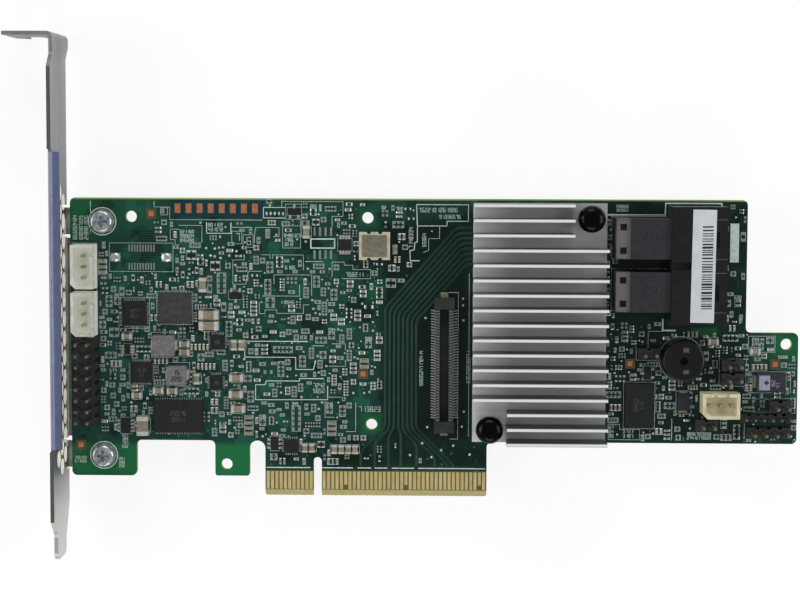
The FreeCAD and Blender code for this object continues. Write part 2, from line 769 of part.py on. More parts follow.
# --- Headers ----------------------------------------------------------------------------
def shrouded_shell(place, size, height, pins, chamfer_corner, key_offset):
    """An open-topped shell with a floor, a chamfered corner and two keying slots."""
    half_x = size[0] / 2
    half_y = size[1] / 2
    c = shell_chamfer
    sx, sy = chamfer_corner
    body = centred_block(place, size, 0, height)
    corner = [edge for edge in body.Edges
              if abs(edge.BoundBox.XMin - (place[0] + sx * half_x)) < 1e-6
              and abs(edge.BoundBox.YMin - (place[1] + sy * half_y)) < 1e-6
              and edge.BoundBox.ZLength > height / 2]
    body = body.makeChamfer(c, corner)
    inner = (size[0] - 2 * shell_wall, size[1] - 2 * shell_wall)
    cavity = centred_block(place, inner, shell_floor, height + 1)
    inner_corner = [edge for edge in cavity.Edges
                    if abs(edge.BoundBox.XMin - (place[0] + sx * inner[0] / 2)) < 1e-6
                    and abs(edge.BoundBox.YMin - (place[1] + sy * inner[1] / 2)) < 1e-6
                    and edge.BoundBox.ZLength > 1]
    cavity = cavity.makeChamfer(c, inner_corner)
    holes = [centred_block(pin, (header_pin, header_pin), -1, shell_floor + 1) for pin in pins]
    along_y = size[1] > size[0]
    slots = []
    for side in (-1, 1):
        if along_y:
            spot = (place[0] + half_x, place[1] + side * key_offset)
            slots.append(centred_block(spot, (3 * shell_wall, shell_key_width),
                                       height - shell_key_depth, height + 1))
        else:
            spot = (place[0] + side * key_offset, place[1] + half_y)
            slots.append(centred_block(spot, (shell_key_width, 3 * shell_wall),
                                       height - shell_key_depth, height + 1))
    return without(body, [cavity] + holes + slots)


def led_header_shells():
    shells = []
    for y in led_headers:
        pins = row_of((led_header_x, y), 3, shell_pitch, along_x=False)
        shells.append(shrouded_shell((led_header_x, y), shell_size, shell_height, pins, (-1, -1),
                                     shell_key_offset))
    return shells


def fan_header_shell():
    return [shrouded_shell(fan_header, fan_shell, fan_header_height, fan_pins, (-1, -1), fan_key_offset)]


def shrouded_pins():
    return [square_pin(place, header_pin, board_back - pin_end, shell_pin_top)
            for place in led_pins + fan_pins]


def header_base(place, columns, rows, pitch, pin, height):
    """A moulded strip with a notch between each pair of pins and a square hole at each pin."""
    size = (columns * pitch, rows * pitch)
    body = centred_block(place, size, 0, height)
    cuts = []
    for i in range(1, columns):
        x = place[0] + (i - columns / 2) * pitch
        for y in (place[1] - size[1] / 2, place[1] + size[1] / 2):
            cuts.append(centred_block((x, y), (header_notch, header_notch), -1, height + 1))
    for i in range(1, rows):
        y = place[1] + (i - rows / 2) * pitch
        for x in (place[0] - size[0] / 2, place[0] + size[0] / 2):
            cuts.append(centred_block((x, y), (header_notch, header_notch), -1, height + 1))
    for i in range(columns):
        for j in range(rows):
            spot = (place[0] + (i - (columns - 1) / 2) * pitch, place[1] + (j - (rows - 1) / 2) * pitch)
            cuts.append(centred_block(spot, (pin, pin), -1, height + 1))
    return without(body, cuts)


def tall_header_base():
    return [header_base(tall_header, 2, tall_header_rows, header_pitch, header_pin,
                        tall_header_base_height)]


def tall_pins():
    return [square_pin(place, header_pin, board_back - pin_end, tall_header_pin_top)
            for place in tall_header_pins]


def small_header_bases():
    bases = [header_base(place, 2, 1, header_pitch, header_pin, header_base_height)
             for place in jumper_headers]
    bases.append(header_base(four_header, 4, 1, header_pitch, header_pin, header_base_height))
    bases.append(header_base(fine_header, 6, 1, fine_pitch, fine_pin, fine_base_height))
    return bases


def small_header_pins():
    pins = [square_pin(place, header_pin, board_back - pin_end, header_pin_top)
            for place in jumper_pins + four_pins]
    pins += [square_pin(place, fine_pin, board_back - pin_end, fine_pin_top) for place in fine_pins]
    return pins


def solder_joints():
    """A cone of solder on the board's back round each pin."""
    joints = []
    low = board_back - solder_height
    for places, width in ((square_pins, header_pin), (fine_pins, fine_pin)):
        wide = width * math.sqrt(2) / 2 + solder_spread
        narrow = width * math.sqrt(2) / 2 + solder_tip
        for place in places:
            cone = Part.makeCone(narrow, wide, solder_height, V(place[0], place[1], low))
            joints.append(without(cone, [centred_block(place, (width, width), low - 1, board_back + 1)]))
    for place in buzzer_pins:
        radius = buzzer_pin_diameter / 2
        cone = Part.makeCone(radius + solder_tip, radius + solder_spread, solder_height,
                             V(place[0], place[1], low))
        joints.append(without(cone, [rod(place, buzzer_pin_diameter, low - 1, board_back + 1)]))
    return joints


# --- Cache module connector -------------------------------------------------------------
def cache_connector():
    body = centred_block(cache_centre, cache_body, 0, cache_height)
    cuts = [centred_block(cache_centre, cache_slot, cache_floor, cache_height + 1)]
    for side in (-1, 1):
        x = cache_centre[0] + side * cache_body[0] / 2
        recess = (2 * cache_ledge_depth, cache_slot[1])
        cuts.append(centred_block((x, cache_centre[1]), recess, cache_ledge, cache_height + 1))
    return [without(body, cuts)]


def cache_connector_contacts():
    """Each contact climbs the body's recessed side, steps over its ledge and ends in a foot."""
    contacts = []
    t = cache_contact_thickness
    half = cache_contact_width / 2
    wall = cache_body[0] / 2 - cache_ledge_depth
    face = cache_body[0] / 2
    # distances out from the connector's middle, then heights
    runs = [(wall, wall + t, cache_ledge, cache_height - cache_stem_drop),
            (wall, face + t, cache_ledge, cache_ledge + t),
            (face, face + t, 0, cache_ledge + t),
            (face, face + cache_foot, 0, t)]
    for place in row_of(cache_centre, cache_contacts, cache_contact_pitch, along_x=False):
        pieces = [block(near, far, -half, half, low, high) for near, far, low, high in runs]
        for angle in (0, 180):
            contact = joined(pieces)
            contact.rotate(V(0, 0, 0), V(0, 0, 1), angle)
            contact.translate(V(place[0], place[1], 0))
            contacts.append(contact)
    return contacts


def cache_connector_nails():
    """The solder nail on each end of the connector."""
    nails = []
    half = cache_nail_width / 2
    plate = block(-half, half, 0, cache_nail_thickness, 0, cache_nail_height)
    foot = block(-half, half, 0, cache_nail_foot, 0, cache_nail_thickness)
    for side, angle in ((1, 0), (-1, 180)):
        nail = joined([plate, foot])
        nail.rotate(V(0, 0, 0), V(0, 0, 1), angle)
        nail.translate(V(cache_centre[0], cache_centre[1] + side * cache_body[1] / 2, 0))
        nails.append(nail)
    return nails


# --- Buzzer, oscillator and chips -------------------------------------------------------
def buzzer():
    body = rod(buzzer_place, buzzer_diameter, 0, buzzer_height)
    body = body.makeFillet(buzzer_round, [edge for edge in body.Edges
                                          if abs(edge.BoundBox.ZMin - buzzer_height) < 1e-6])
    cuts = [rod(buzzer_place, buzzer_hole, buzzer_height - buzzer_hole_depth, buzzer_height + 1)]
    cuts += [rod(place, buzzer_pin_diameter, -1, buzzer_pin_seat) for place in buzzer_pins]
    return [without(body, cuts)]


def buzzer_pin_pair():
    return [rod(place, buzzer_pin_diameter, board_back - pin_end, buzzer_pin_seat) for place in buzzer_pins]


def oscillator_base():
    body = centred_block(oscillator_place, oscillator_size, 0, oscillator_height)
    inner = tuple(side - 2 * oscillator_rim for side in oscillator_size)
    cuts = [centred_block(oscillator_place, inner, oscillator_height - oscillator_lid / 2,
                          oscillator_height + 1)]
    for sx in (-1, 1):
        for sy in (-1, 1):
            spot = (oscillator_place[0] + sx * oscillator_notch_spread / 2,
                    oscillator_place[1] + sy * oscillator_size[1] / 2)
            cuts.append(rod(spot, oscillator_notch, -1, oscillator_height + 1))
    return [without(body, cuts)]


def oscillator_cover():
    inner = tuple(side - 2 * oscillator_rim for side in oscillator_size)
    low = oscillator_height - oscillator_lid / 2
    return [centred_block(oscillator_place, inner, low, low + oscillator_lid)]


def flat_chip(x, y, size_x, size_y, height):
    body = centred_block((x, y), (size_x, size_y), 0, height)
    top = [edge for edge in body.Edges if abs(edge.BoundBox.ZMin - height) < 1e-6]
    return body.makeChamfer(chip_edge, top)


def leaded_chip_bodies():
    bodies = []
    for x, y, size_x, size_y, height, leads, pitch, along_x in leaded_chips:
        bodies.append(flat_chip(x, y, size_x, size_y, height))
    return bodies


def chip_leads():
    """Gull-wing leads: out of the body's side, down and along the board."""
    wings = []
    half = lead_width / 2
    t = lead_thickness
    for x, y, size_x, size_y, height, leads, pitch, along_x in leaded_chips:
        body_half = (size_x if along_x else size_y) / 2
        for side, count in zip((1, -1), lead_counts[leads]):
            for across, _ in row_of((0, 0), count, pitch):
                out = (body_half, body_half + lead_reach * 0.5, body_half + lead_reach)
                shoulder = block(out[0], out[1], across - half, across + half, lead_rise, lead_rise + t)
                leg = block(out[1] - t, out[1], across - half, across + half, 0, lead_rise + t)
                foot = block(out[1] - t, out[2], across - half, across + half, 0, t)
                wing = joined([shoulder, leg, foot])
                angle = 0 if side == 1 else 180
                wing.rotate(V(0, 0, 0), V(0, 0, 1), angle + (0 if along_x else 90))
                wing.translate(V(x, y, 0))
                wings.append(wing)
    return wings


def inductors():
    bodies = []
    for x, y, size_x, size_y in power_inductors:
        body = centred_block((x, y), (size_x, size_y), 0, inductor_height)
        upright = [edge for edge in body.Edges if edge.BoundBox.ZLength > inductor_height / 2]
        bodies.append(body.makeFillet(inductor_round, upright))
    return bodies


def inductor_terminals():
    straps = []
    for x, y, size_x, size_y in power_inductors:
        for side in (-1, 1):
            edge = x + side * size_x / 2
            xs = sorted((edge, edge + side * strap_thickness))
            straps.append(block(xs[0], xs[1], y - strap_width / 2, y + strap_width / 2, 0, strap_height))
    return straps


def capacitor_frames():
    """Each capacitor as (low x, high x, low y, high y, height, ends along x)."""
    return [(x - size_x / 2, x + size_x / 2, y - size_y / 2, y + size_y / 2, height, size_x > size_y)
            for x, y, size_x, size_y, height in ceramic_capacitors]


def capacitor_bodies():
    bodies = []
    s = capacitor_end_skin
    for x0, x1, y0, y1, height, along_x in capacitor_frames():
        end = capacitor_end_share * ((x1 - x0) if along_x else (y1 - y0))
        if along_x:
            bodies.append(block(x0 + end, x1 - end, y0 + s, y1 - s, s, height - s))
        else:
            bodies.append(block(x0 + s, x1 - s, y0 + end, y1 - end, s, height - s))
    return bodies


def capacitor_ends():
    ends = []
    for x0, x1, y0, y1, height, along_x in capacitor_frames():
        end = capacitor_end_share * ((x1 - x0) if along_x else (y1 - y0))
        if along_x:
            ends.append(block(x0, x0 + end, y0, y1, 0, height))
            ends.append(block(x1 - end, x1, y0, y1, 0, height))
        else:
            ends.append(block(x0, x1, y0, y0 + end, 0, height))
            ends.append(block(x0, x1, y1 - end, y1, 0, height))
    return ends


def moulded_bodies():
    """The tantalum capacitor and the power diode."""
    return [flat_chip(x, y, size_x, size_y, height) for x, y, size_x, size_y, height in moulded_parts]


def moulded_terminals():
    terminals = []
    for x, y, size_x, size_y, height in moulded_parts:
        along_x = size_x > size_y
        reach = max(size_x, size_y) / 2
        half = min(size_x, size_y) * moulded_terminal_share / 2
        for angle in (0, 180):
            terminal = block(reach, reach + moulded_terminal_thickness, -half, half, 0, height / 2)
            terminal.rotate(V(0, 0, 0), V(0, 0, 1), angle + (0 if along_x else 90))
            terminal.translate(V(x, y, 0))
            terminals.append(terminal)
    return terminals


# --- The parts --------------------------------------------------------------------------
os.makedirs("parts", exist_ok=True)

export("board", board())
export("edge_contacts_front", edge_contacts(0, contact_thickness, short_contacts_front))
export("edge_contacts_back", edge_contacts(board_back - contact_thickness, board_back, short_contacts_back))
export("bare_pads", bare_pads())
export("bracket", bracket())
export("bracket_screws", bracket_screws())
export("heat_sink", heat_sink())
export("push_pins", push_pins())
export("push_pin_springs", push_pin_springs())
export("thermal_pad", [centred_block(sink_centre, (lid_size, lid_size), chip_top, base_bottom)])
export("controller_substrate", [centred_block(sink_centre, (substrate_size, substrate_size),
                                              0, substrate_thickness)])
export("controller_lid", [centred_block(sink_centre, (lid_size, lid_size), substrate_thickness, chip_top)])
export("port_shroud", port_shroud())
for number, housing in enumerate(port_housings(), start=1):
    export(f"port_housing_{number}", [housing])
export("port_contacts", port_contacts())
export("port_label", port_label())
export("led_header_shells", led_header_shells())
export("fan_header_shell", fan_header_shell())
export("shrouded_header_pins", shrouded_pins())
export("tall_header_base", tall_header_base())
export("tall_header_pins", tall_pins())
export("small_header_bases", small_header_bases())
export("small_header_pins", small_header_pins())
export("solder_joints", solder_joints())
export("cache_connector", cache_connector())
export("cache_connector_contacts", cache_connector_contacts())
export("cache_connector_nails", cache_connector_nails())
export("buzzer", buzzer())
export("buzzer_pins", buzzer_pin_pair())
export("oscillator_base", oscillator_base())
export("oscillator_cover", oscillator_cover())
for name, chips in flat_chips.items():
    export(name, [flat_chip(*chip) for chip in chips])
export("small_chip_bodies", leaded_chip_bodies())
export("small_chip_leads", chip_leads())
export("inductors", inductors())
export("inductor_terminals", inductor_terminals())
export("ceramic_capacitors", capacitor_bodies())
export("ceramic_capacitor_ends", capacitor_ends())
export("moulded_bodies", moulded_bodies())
export("moulded_terminals", moulded_terminals())
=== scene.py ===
import json
import math
import random

import bmesh
import bpy
import numpy as np
from mathutils import Matrix, Vector


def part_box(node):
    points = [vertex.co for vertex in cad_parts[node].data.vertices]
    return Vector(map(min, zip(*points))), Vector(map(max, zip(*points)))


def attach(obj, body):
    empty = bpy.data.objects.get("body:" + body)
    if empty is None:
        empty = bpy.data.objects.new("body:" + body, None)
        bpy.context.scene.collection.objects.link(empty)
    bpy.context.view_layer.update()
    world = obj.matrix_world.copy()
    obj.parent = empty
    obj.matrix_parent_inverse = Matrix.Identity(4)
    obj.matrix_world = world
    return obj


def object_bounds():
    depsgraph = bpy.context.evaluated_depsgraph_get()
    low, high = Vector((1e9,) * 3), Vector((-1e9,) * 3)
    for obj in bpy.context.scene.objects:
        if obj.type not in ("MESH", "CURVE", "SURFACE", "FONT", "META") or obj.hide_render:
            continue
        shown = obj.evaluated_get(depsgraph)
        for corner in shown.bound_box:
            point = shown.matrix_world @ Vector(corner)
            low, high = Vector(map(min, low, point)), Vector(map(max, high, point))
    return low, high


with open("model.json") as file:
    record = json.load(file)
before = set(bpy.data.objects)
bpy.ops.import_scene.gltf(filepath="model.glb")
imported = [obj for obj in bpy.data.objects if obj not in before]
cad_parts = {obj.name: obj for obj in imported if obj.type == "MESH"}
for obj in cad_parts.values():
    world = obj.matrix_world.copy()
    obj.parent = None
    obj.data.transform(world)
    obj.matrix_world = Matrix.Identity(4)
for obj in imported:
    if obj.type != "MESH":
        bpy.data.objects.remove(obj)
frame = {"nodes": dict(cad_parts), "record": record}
cadLow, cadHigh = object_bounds()
nodes = frame["nodes"]
mm = 0.001
scene = bpy.context.scene
rng = random.Random(41)
boardLow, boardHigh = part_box("board")
backFace = boardLow.z
print("frame loaded:", len(nodes), "nodes")

view = {"lens": 87.01, "place": (27.87, 80.22, 443.87), "turns": (4.457, -1.146, -0.292)}


def makeCamera():
    camera = bpy.data.objects.new("camera", bpy.data.cameras.new("camera"))
    scene.collection.objects.link(camera)
    camera.data.lens = view["lens"]
    camera.data.sensor_width = 36
    tiltX, tiltY, tiltZ = (math.radians(angle) for angle in view["turns"])
    turn = Matrix.Rotation(tiltZ, 3, "Z") @ Matrix.Rotation(tiltY, 3, "Y") @ Matrix.Rotation(tiltX, 3, "X")
    camera.matrix_world = Matrix.Translation(Vector(view["place"]) * mm) @ turn.transposed().to_4x4()
    camera.data.clip_start = 0.01
    camera.data.clip_end = 10
    scene.camera = camera


def linear(hexColour):
    channels = [int(hexColour[i:i + 2], 16) / 255 for i in (1, 3, 5)]
    return [c / 12.92 if c <= 0.04045 else ((c + 0.055) / 1.055) ** 2.4 for c in channels] + [1.0]


def addNode(tree, kind, sockets=None, **settings):
    node = tree.nodes.new(kind)
    for name, value in settings.items():
        setattr(node, name, value)
    for socket, value in (sockets or {}).items():
        if isinstance(value, bpy.types.NodeSocket):
            tree.links.new(value, node.inputs[socket])
        else:
            node.inputs[socket].default_value = value
    return node


# the functions below add their node to the tree of the socket they are given
def calc(operation, first, second=0.0):
    return addNode(first.id_data, "ShaderNodeMath", {0: first, 1: second}, operation=operation).outputs[0]


def ranged(value, start, end, low=0.0, high=1.0, **settings):
    # low at start, high at end, held beyond them
    return addNode(value.id_data, "ShaderNodeMapRange", {"Value": value, "From Min": start, "From Max": end,
                                                         "To Min": low, "To Max": high}, **settings).outputs[0]


def blended(share, first, second):
    # each colour is a socket or a hex string
    first, second = (linear(colour) if isinstance(colour, str) else colour for colour in (first, second))
    return addNode(share.id_data, "ShaderNodeMix", {0: share, 6: first, 7: second}, data_type="RGBA").outputs[2]


def noise(vector, size, detail, roughness=0.5):
    return addNode(vector.id_data, "ShaderNodeTexNoise", {"Vector": vector, "Scale": 1 / (size * mm),
                                                          "Detail": detail, "Roughness": roughness}).outputs[0]


def stretched(vector, scale):
    return addNode(vector.id_data, "ShaderNodeMapping", {"Vector": vector, "Scale": scale}).outputs[0]


def partsOf(vector):
    return addNode(vector.id_data, "ShaderNodeSeparateXYZ", {0: vector}).outputs


def facingOf(shader):
    return partsOf(addNode(shader.id_data, "ShaderNodeNewGeometry").outputs["Normal"])


def between(value, low, high):
    return calc("MULTIPLY", calc("GREATER_THAN", value, low), calc("LESS_THAN", value, high))


# four softboxes round the card, metres and watts
light = {"sky": 0.2, "skyColour": "#f0f4f8", "power": 2.72, "size": 0.42, "height": 0.48, "reach": 0.66,
         "ways": ((-1, 0, 1.2), (1, 0, 1.1), (0, -1, 0.8), (0, 1, 0.9))}
floorLook = {"colour": "#fbfbfa", "roughness": 0.8, "size": 3.0, "gap": 0.05 * mm, "glow": 0.86}
pureWhite = (1, 1, 1, 1)


def makeLight():
    world = bpy.data.worlds.new("studio")
    scene.world = world
    world.use_nodes = True
    tree = world.node_tree
    tree.nodes.clear()
    path = addNode(tree, "ShaderNodeLightPath").outputs
    seen = calc("MAXIMUM", path["Is Camera Ray"], path["Is Transmission Ray"])
    soft = addNode(tree, "ShaderNodeBackground", {"Color": linear(light["skyColour"]), "Strength": light["sky"]})
    white = addNode(tree, "ShaderNodeBackground", {"Color": pureWhite, "Strength": 1.0})
    both = addNode(tree, "ShaderNodeMixShader", {0: seen, 1: soft.outputs[0], 2: white.outputs[0]})
    addNode(tree, "ShaderNodeOutputWorld", {"Surface": both.outputs[0]})
    middle = (cadLow + cadHigh) / 2
    for wayX, wayY, share in light["ways"]:
        lamp = bpy.data.lights.new("softbox", "AREA")
        lamp.energy = light["power"] * share
        lamp.size = light["size"]
        softbox = bpy.data.objects.new("softbox", lamp)
        scene.collection.objects.link(softbox)
        place = Vector((middle.x + wayX * light["reach"], middle.y + wayY * light["reach"], light["height"]))
        softbox.location = place
        softbox.rotation_euler = (middle - place).to_track_quat("-Z", "Y").to_euler()


def feed(shader, name, socket):
    shader.id_data.links.new(socket, shader.inputs[name])


def newFinish(name, colour, roughness, metallic=0.0, ior=None, level=None):
    material = bpy.data.materials.new(name)
    material.use_nodes = True
    shader = material.node_tree.nodes["Principled BSDF"]
    shader.inputs["Base Color"].default_value = linear(colour)
    shader.inputs["Roughness"].default_value = roughness
    shader.inputs["Metallic"].default_value = metallic
    if ior:
        shader.inputs["IOR"].default_value = ior
    if level:
        shader.inputs["Specular IOR Level"].default_value = level
    return material, shader, addNode(shader.id_data, "ShaderNodeTexCoord").outputs["Object"]


def makeFloor():
    half = floorLook["size"] / 2
    z = cadLow.z - floorLook["gap"]
    mesh = bpy.data.meshes.new("floor")
    mesh.from_pydata([(-half, -half, z), (half, -half, z), (half, half, z), (-half, half, z)], [], [(0, 1, 2, 3)])
    floor = bpy.data.objects.new("floor", mesh)
    scene.collection.objects.link(floor)
    # matt white paint, lifted towards white where the camera sees it, so the object's shadow stays faint
    material, shader, _ = newFinish("paintedFloor", floorLook["colour"], floorLook["roughness"])
    tree = shader.id_data
    path = addNode(tree, "ShaderNodeLightPath").outputs
    glow = addNode(tree, "ShaderNodeEmission", {"Color": pureWhite, "Strength": 1.0})
    share = calc("MULTIPLY", path["Is Camera Ray"], floorLook["glow"])
    both = addNode(tree, "ShaderNodeMixShader", {0: share, 1: shader.outputs[0], 2: glow.outputs[0]})
    tree.links.new(both.outputs[0], tree.nodes["Material Output"].inputs["Surface"])
    mesh.materials.append(material)


makeCamera()
makeLight()
makeFloor()
scene.view_settings.view_transform = "Standard"
print("camera, lamps and floor made")


def surfaceOf(shader, place, tones, toneSize, grain, bump, roughRange, stretch=(1, 1, 1)):
    # tones is a pair of hex colours, toneSize and grain are in mm
    tree = shader.id_data
    skin = stretched(place, stretch)
    ramp = addNode(tree, "ShaderNodeValToRGB", {0: noise(skin, toneSize, 4.0, 0.6)})
    for element, position, tone in zip(ramp.color_ramp.elements, (0.3, 0.7), tones):
        element.position = position
        element.color = linear(tone)
    fine = noise(skin, grain, 2.0)
    relief = addNode(tree, "ShaderNodeBump", {"Height": fine, "Strength": bump, "Distance": 0.02 * mm})
    feed(shader, "Base Color", ramp.outputs[0])
    feed(shader, "Roughness", ranged(fine, 0.3, 0.7, *roughRange))
    feed(shader, "Normal", relief.outputs[0])
    return ramp.outputs[0]


maskTones = {"deep": "#0c231d", "mid": "#15372e", "pour": "#1c4b3e", "lit": "#196238", "shade": "#08180f",
             "teal": "#10303a", "edge": "#86a05a", "bare": "#5e5433", "fibre": "#857c4a", "resin": "#bfb685"}
maskLook = {"roughness": 0.24, "cutRoughness": 0.8, "cloud": 7, "patch": 6.5, "trackPitch": 0.55, "trackShare": 0.5,
            "patchShare": 0.45, "relief": 0.25}
# centre x, centre y, half width, half height, softness in mm, tone, share
maskZones = [
    (25.0, 38.0, 10.5, 26.0, 2.5, "shade", 0.95), (2.0, 9.5, 10.0, 3.0, 2.5, "shade", 0.6),
    (22.0, 9.5, 18.0, 3.0, 2.0, "shade", 0.8), (82.0, 41.0, 18.5, 29.0, 3.0, "shade", 0.72),
    (-23.2, 66.4, 11.0, 1.9, 0.5, "teal", 0.85), (-50.5, 8.2, 9.5, 3.6, 0.9, "lit", 0.8),
    (-19.8, 8.0, 4.6, 3.9, 0.9, "lit", 1.0), (-55.0, 65.0, 3.0, 4.4, 2.5, "lit", 0.6),
    (-44.0, 65.5, 7.0, 3.6, 2.5, "lit", 0.25), (107.8, 35.8, 3.6, 3.0, 1.6, "lit", 0.6),
    (12.5, 16.8, 2.0, 2.0, 1.4, "lit", 0.7), (11.5, 64.5, 1.6, 1.6, 1.4, "lit", 0.6),
    (13.5, 48.0, 1.5, 1.6, 1.4, "lit", 0.5), (89.0, 38.6, 3.0, 1.0, 0.6, "lit", 0.45),
    (27.0, 69.1, 90.0, 0.5, 0.15, "edge", 1.0), (13.5, 2.9, 27.0, 2.95, 0.15, "bare", 1.0),
]


def solderMask():
    # liquid photo-imaged solder mask over etched copper: glassy, dark green, with the copper's relief
    material, shader, place = newFinish("greenSolderMask", maskTones["mid"], maskLook["roughness"], ior=1.5, level=0.35)
    tree = shader.id_data
    ramp = addNode(tree, "ShaderNodeValToRGB", {0: noise(place, maskLook["cloud"], 5.0)})
    ramp.color_ramp.interpolation = "CONSTANT"
    steps = [(0.0, "deep"), (0.42, "mid"), (0.6, "pour")]
    ramp.color_ramp.elements[1].position = steps[1][0]
    ramp.color_ramp.elements.new(steps[2][0])
    for element, (position, tone) in zip(ramp.color_ramp.elements, steps):
        element.position = position
        element.color = linear(maskTones[tone])
    # etched tracks in patches that run different ways
    patch = addNode(tree, "ShaderNodeTexVoronoi", {"Vector": place, "Scale": 1 / (maskLook["patch"] * mm)})
    way = partsOf(patch.outputs["Color"])
    angle = calc("MULTIPLY", calc("FLOOR", calc("MULTIPLY", way[0], 4.0)), math.pi / 4)
    turned = addNode(tree, "ShaderNodeVectorRotate", {"Vector": place, "Angle": angle})
    wave = calc("MULTIPLY", partsOf(turned.outputs[0])[0], 2 * math.pi / (maskLook["trackPitch"] * mm))
    present = calc("GREATER_THAN", way[1], maskLook["patchShare"])
    tracks = calc("MULTIPLY", ranged(calc("SINE", wave), 0.1, 0.5), present)
    colour = blended(calc("MULTIPLY", tracks, maskLook["trackShare"]), ramp.outputs[0], maskTones["pour"])
    for x, y, halfX, halfY, softness, tone, share in maskZones:
        offset = addNode(tree, "ShaderNodeVectorMath", {0: place, 1: (x * mm, y * mm, 0)}, operation="SUBTRACT")
        size = addNode(tree, "ShaderNodeVectorMath", {0: offset.outputs[0]}, operation="ABSOLUTE")
        beyond = partsOf(addNode(tree, "ShaderNodeVectorMath", {
            0: size.outputs[0], 1: (halfX * mm, halfY * mm, 1)}, operation="SUBTRACT").outputs[0])
        inside = ranged(calc("MAXIMUM", beyond[0], beyond[1]), softness * mm, -softness * mm, 0.0, share,
                        interpolation_type="SMOOTHSTEP")
        colour = blended(inside, colour, maskTones[tone])
    # the cut edge shows the laminate's glass weave
    cutEdge = calc("LESS_THAN", calc("ABSOLUTE", facingOf(shader)[2]), 0.985)
    weave = noise(stretched(place, (1, 1, 6)), 0.7, 3.0)
    colour = blended(cutEdge, colour, blended(weave, maskTones["fibre"], maskTones["resin"]))
    feed(shader, "Base Color", colour)
    feed(shader, "Roughness", ranged(cutEdge, 0.0, 1.0, maskLook["roughness"], maskLook["cutRoughness"]))
    height = calc("ADD", noise(place, 0.35, 2.0), tracks)
    relief = addNode(tree, "ShaderNodeBump", {"Height": height, "Strength": maskLook["relief"], "Distance": 0.02 * mm})
    feed(shader, "Normal", relief.outputs[0])
    return material


def moulded(name, tones, roughness, grain=0.25, bump=0.35, toneSize=3.0, ior=1.52, level=0.3):
    # injection-moulded plastic: an even tone with a fine spark-eroded skin
    material, shader, place = newFinish(name, tones[0], roughness, ior=ior, level=level)
    surfaceOf(shader, place, tones, toneSize, grain, bump, (roughness - 0.06, roughness + 0.08))
    return material


def metal(name, tones, roughness, grain=0.3, bump=0.25, toneSize=2.0, stretch=(1, 1, 1), metallic=1.0):
    # bare or plated metal: tone and gloss wander a little, drawn out along the way it was worked
    material, shader, place = newFinish(name, tones[0], roughness, metallic=metallic)
    surfaceOf(shader, place, tones, toneSize, grain, bump, (roughness - 0.07, roughness + 0.1), stretch)
    return material


sinkLow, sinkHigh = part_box("heat_sink")
sinkMiddle = (sinkLow.y + sinkHigh.y) / 2
# the crest colour is a painted highlight along each fin tip; the flank and top figures darken the fin sides and tip
# tops as painted shade; the end figures brighten the left end as painted light
sinkLook = {"finPitch": 3.36 * mm, "crestHighlight": "#dedfe0", "highlightHalf": (0.32 * mm, 0.24 * mm), "flankShade": 0.35,
            "endLightReach": 9 * mm, "endLight": 1.7, "topShade": 0.45, "metallic": (0.6, 0.2)}


def heatSinkAluminium():
    # extruded 6063, dull between the fins, with painted light and shade: the fin sides darkened as painted shade, the
    # flat tops beside the crest darkened as painted shade, a painted highlight along the crest of each tip, and the
    # left end brightened as painted light
    material, shader, place = newFinish("extrudedAluminium", "#c6c8cb", 0.36, metallic=0.6)
    base = surfaceOf(shader, place, ("#a9abad", "#c0c1c3"), 2.5, 0.12, 0.15, (0.36, 0.48), (0.02, 1, 1))
    spot = partsOf(place)
    high = ranged(spot[2], sinkHigh.z - 0.35 * mm, sinkHigh.z - 0.1 * mm)
    pitch = sinkLook["finPitch"]
    onFin = calc("FLOORED_MODULO", calc("SUBTRACT", spot[1], sinkMiddle + pitch / 2), pitch)
    away = calc("ABSOLUTE", calc("SUBTRACT", onFin, pitch / 2))
    # painted highlight: a bright, less metallic band along the middle of each fin tip
    highlight = calc("MULTIPLY", high, ranged(away, *sinkLook["highlightHalf"], 0.25, 1.0))
    # painted shade: the fin sides darker than faces that look up, and the tip tops beside the crest darker
    level = ranged(facingOf(shader)[2], 0.3, 0.8, sinkLook["flankShade"], 1.0)
    # painted light: brighter towards the left end of the fins
    lift = ranged(spot[0], sinkLow.x + sinkLook["endLightReach"], sinkLow.x, 1.0, sinkLook["endLight"])
    topShaded = ranged(high, 0.0, 1.0, 1.0, sinkLook["topShade"])
    paintedLightAndShade = calc("MULTIPLY", calc("MULTIPLY", level, lift), topShaded)
    litAndShadedColour = addNode(shader.id_data, "ShaderNodeVectorMath", {0: base, "Scale": paintedLightAndShade}, operation="SCALE")
    feed(shader, "Base Color", blended(highlight, litAndShadedColour.outputs[0], sinkLook["crestHighlight"]))
    feed(shader, "Metallic", ranged(highlight, 0.0, 1.0, *sinkLook["metallic"]))
    return material


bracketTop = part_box("bracket")[1].z
# the tail colour is painted light on the bent tail, the rim colour painted shade on the sheet's top edge, the bend
# colour painted shade on the fold's outer bend, the inside colour painted light on the inner face below the board,
# which lies in shadow, and the punched colour a painted glint on bare sheared steel
bracketLook = {"litTail": "#c4c5c1", "shadedRim": "#66666a", "fold": "#6f7694", "bend": "#232840", "inside": "#eeeeec",
               "punchedGlint": "#ecebe0", "metallic": (0.85, 0.15), "litTailReach": (9 * mm, -2 * mm),
               "foldReach": (12 * mm, 79.7 * mm), "litInsideReach": (11 * mm, 64 * mm), "ventReach": (3 * mm, 72 * mm)}


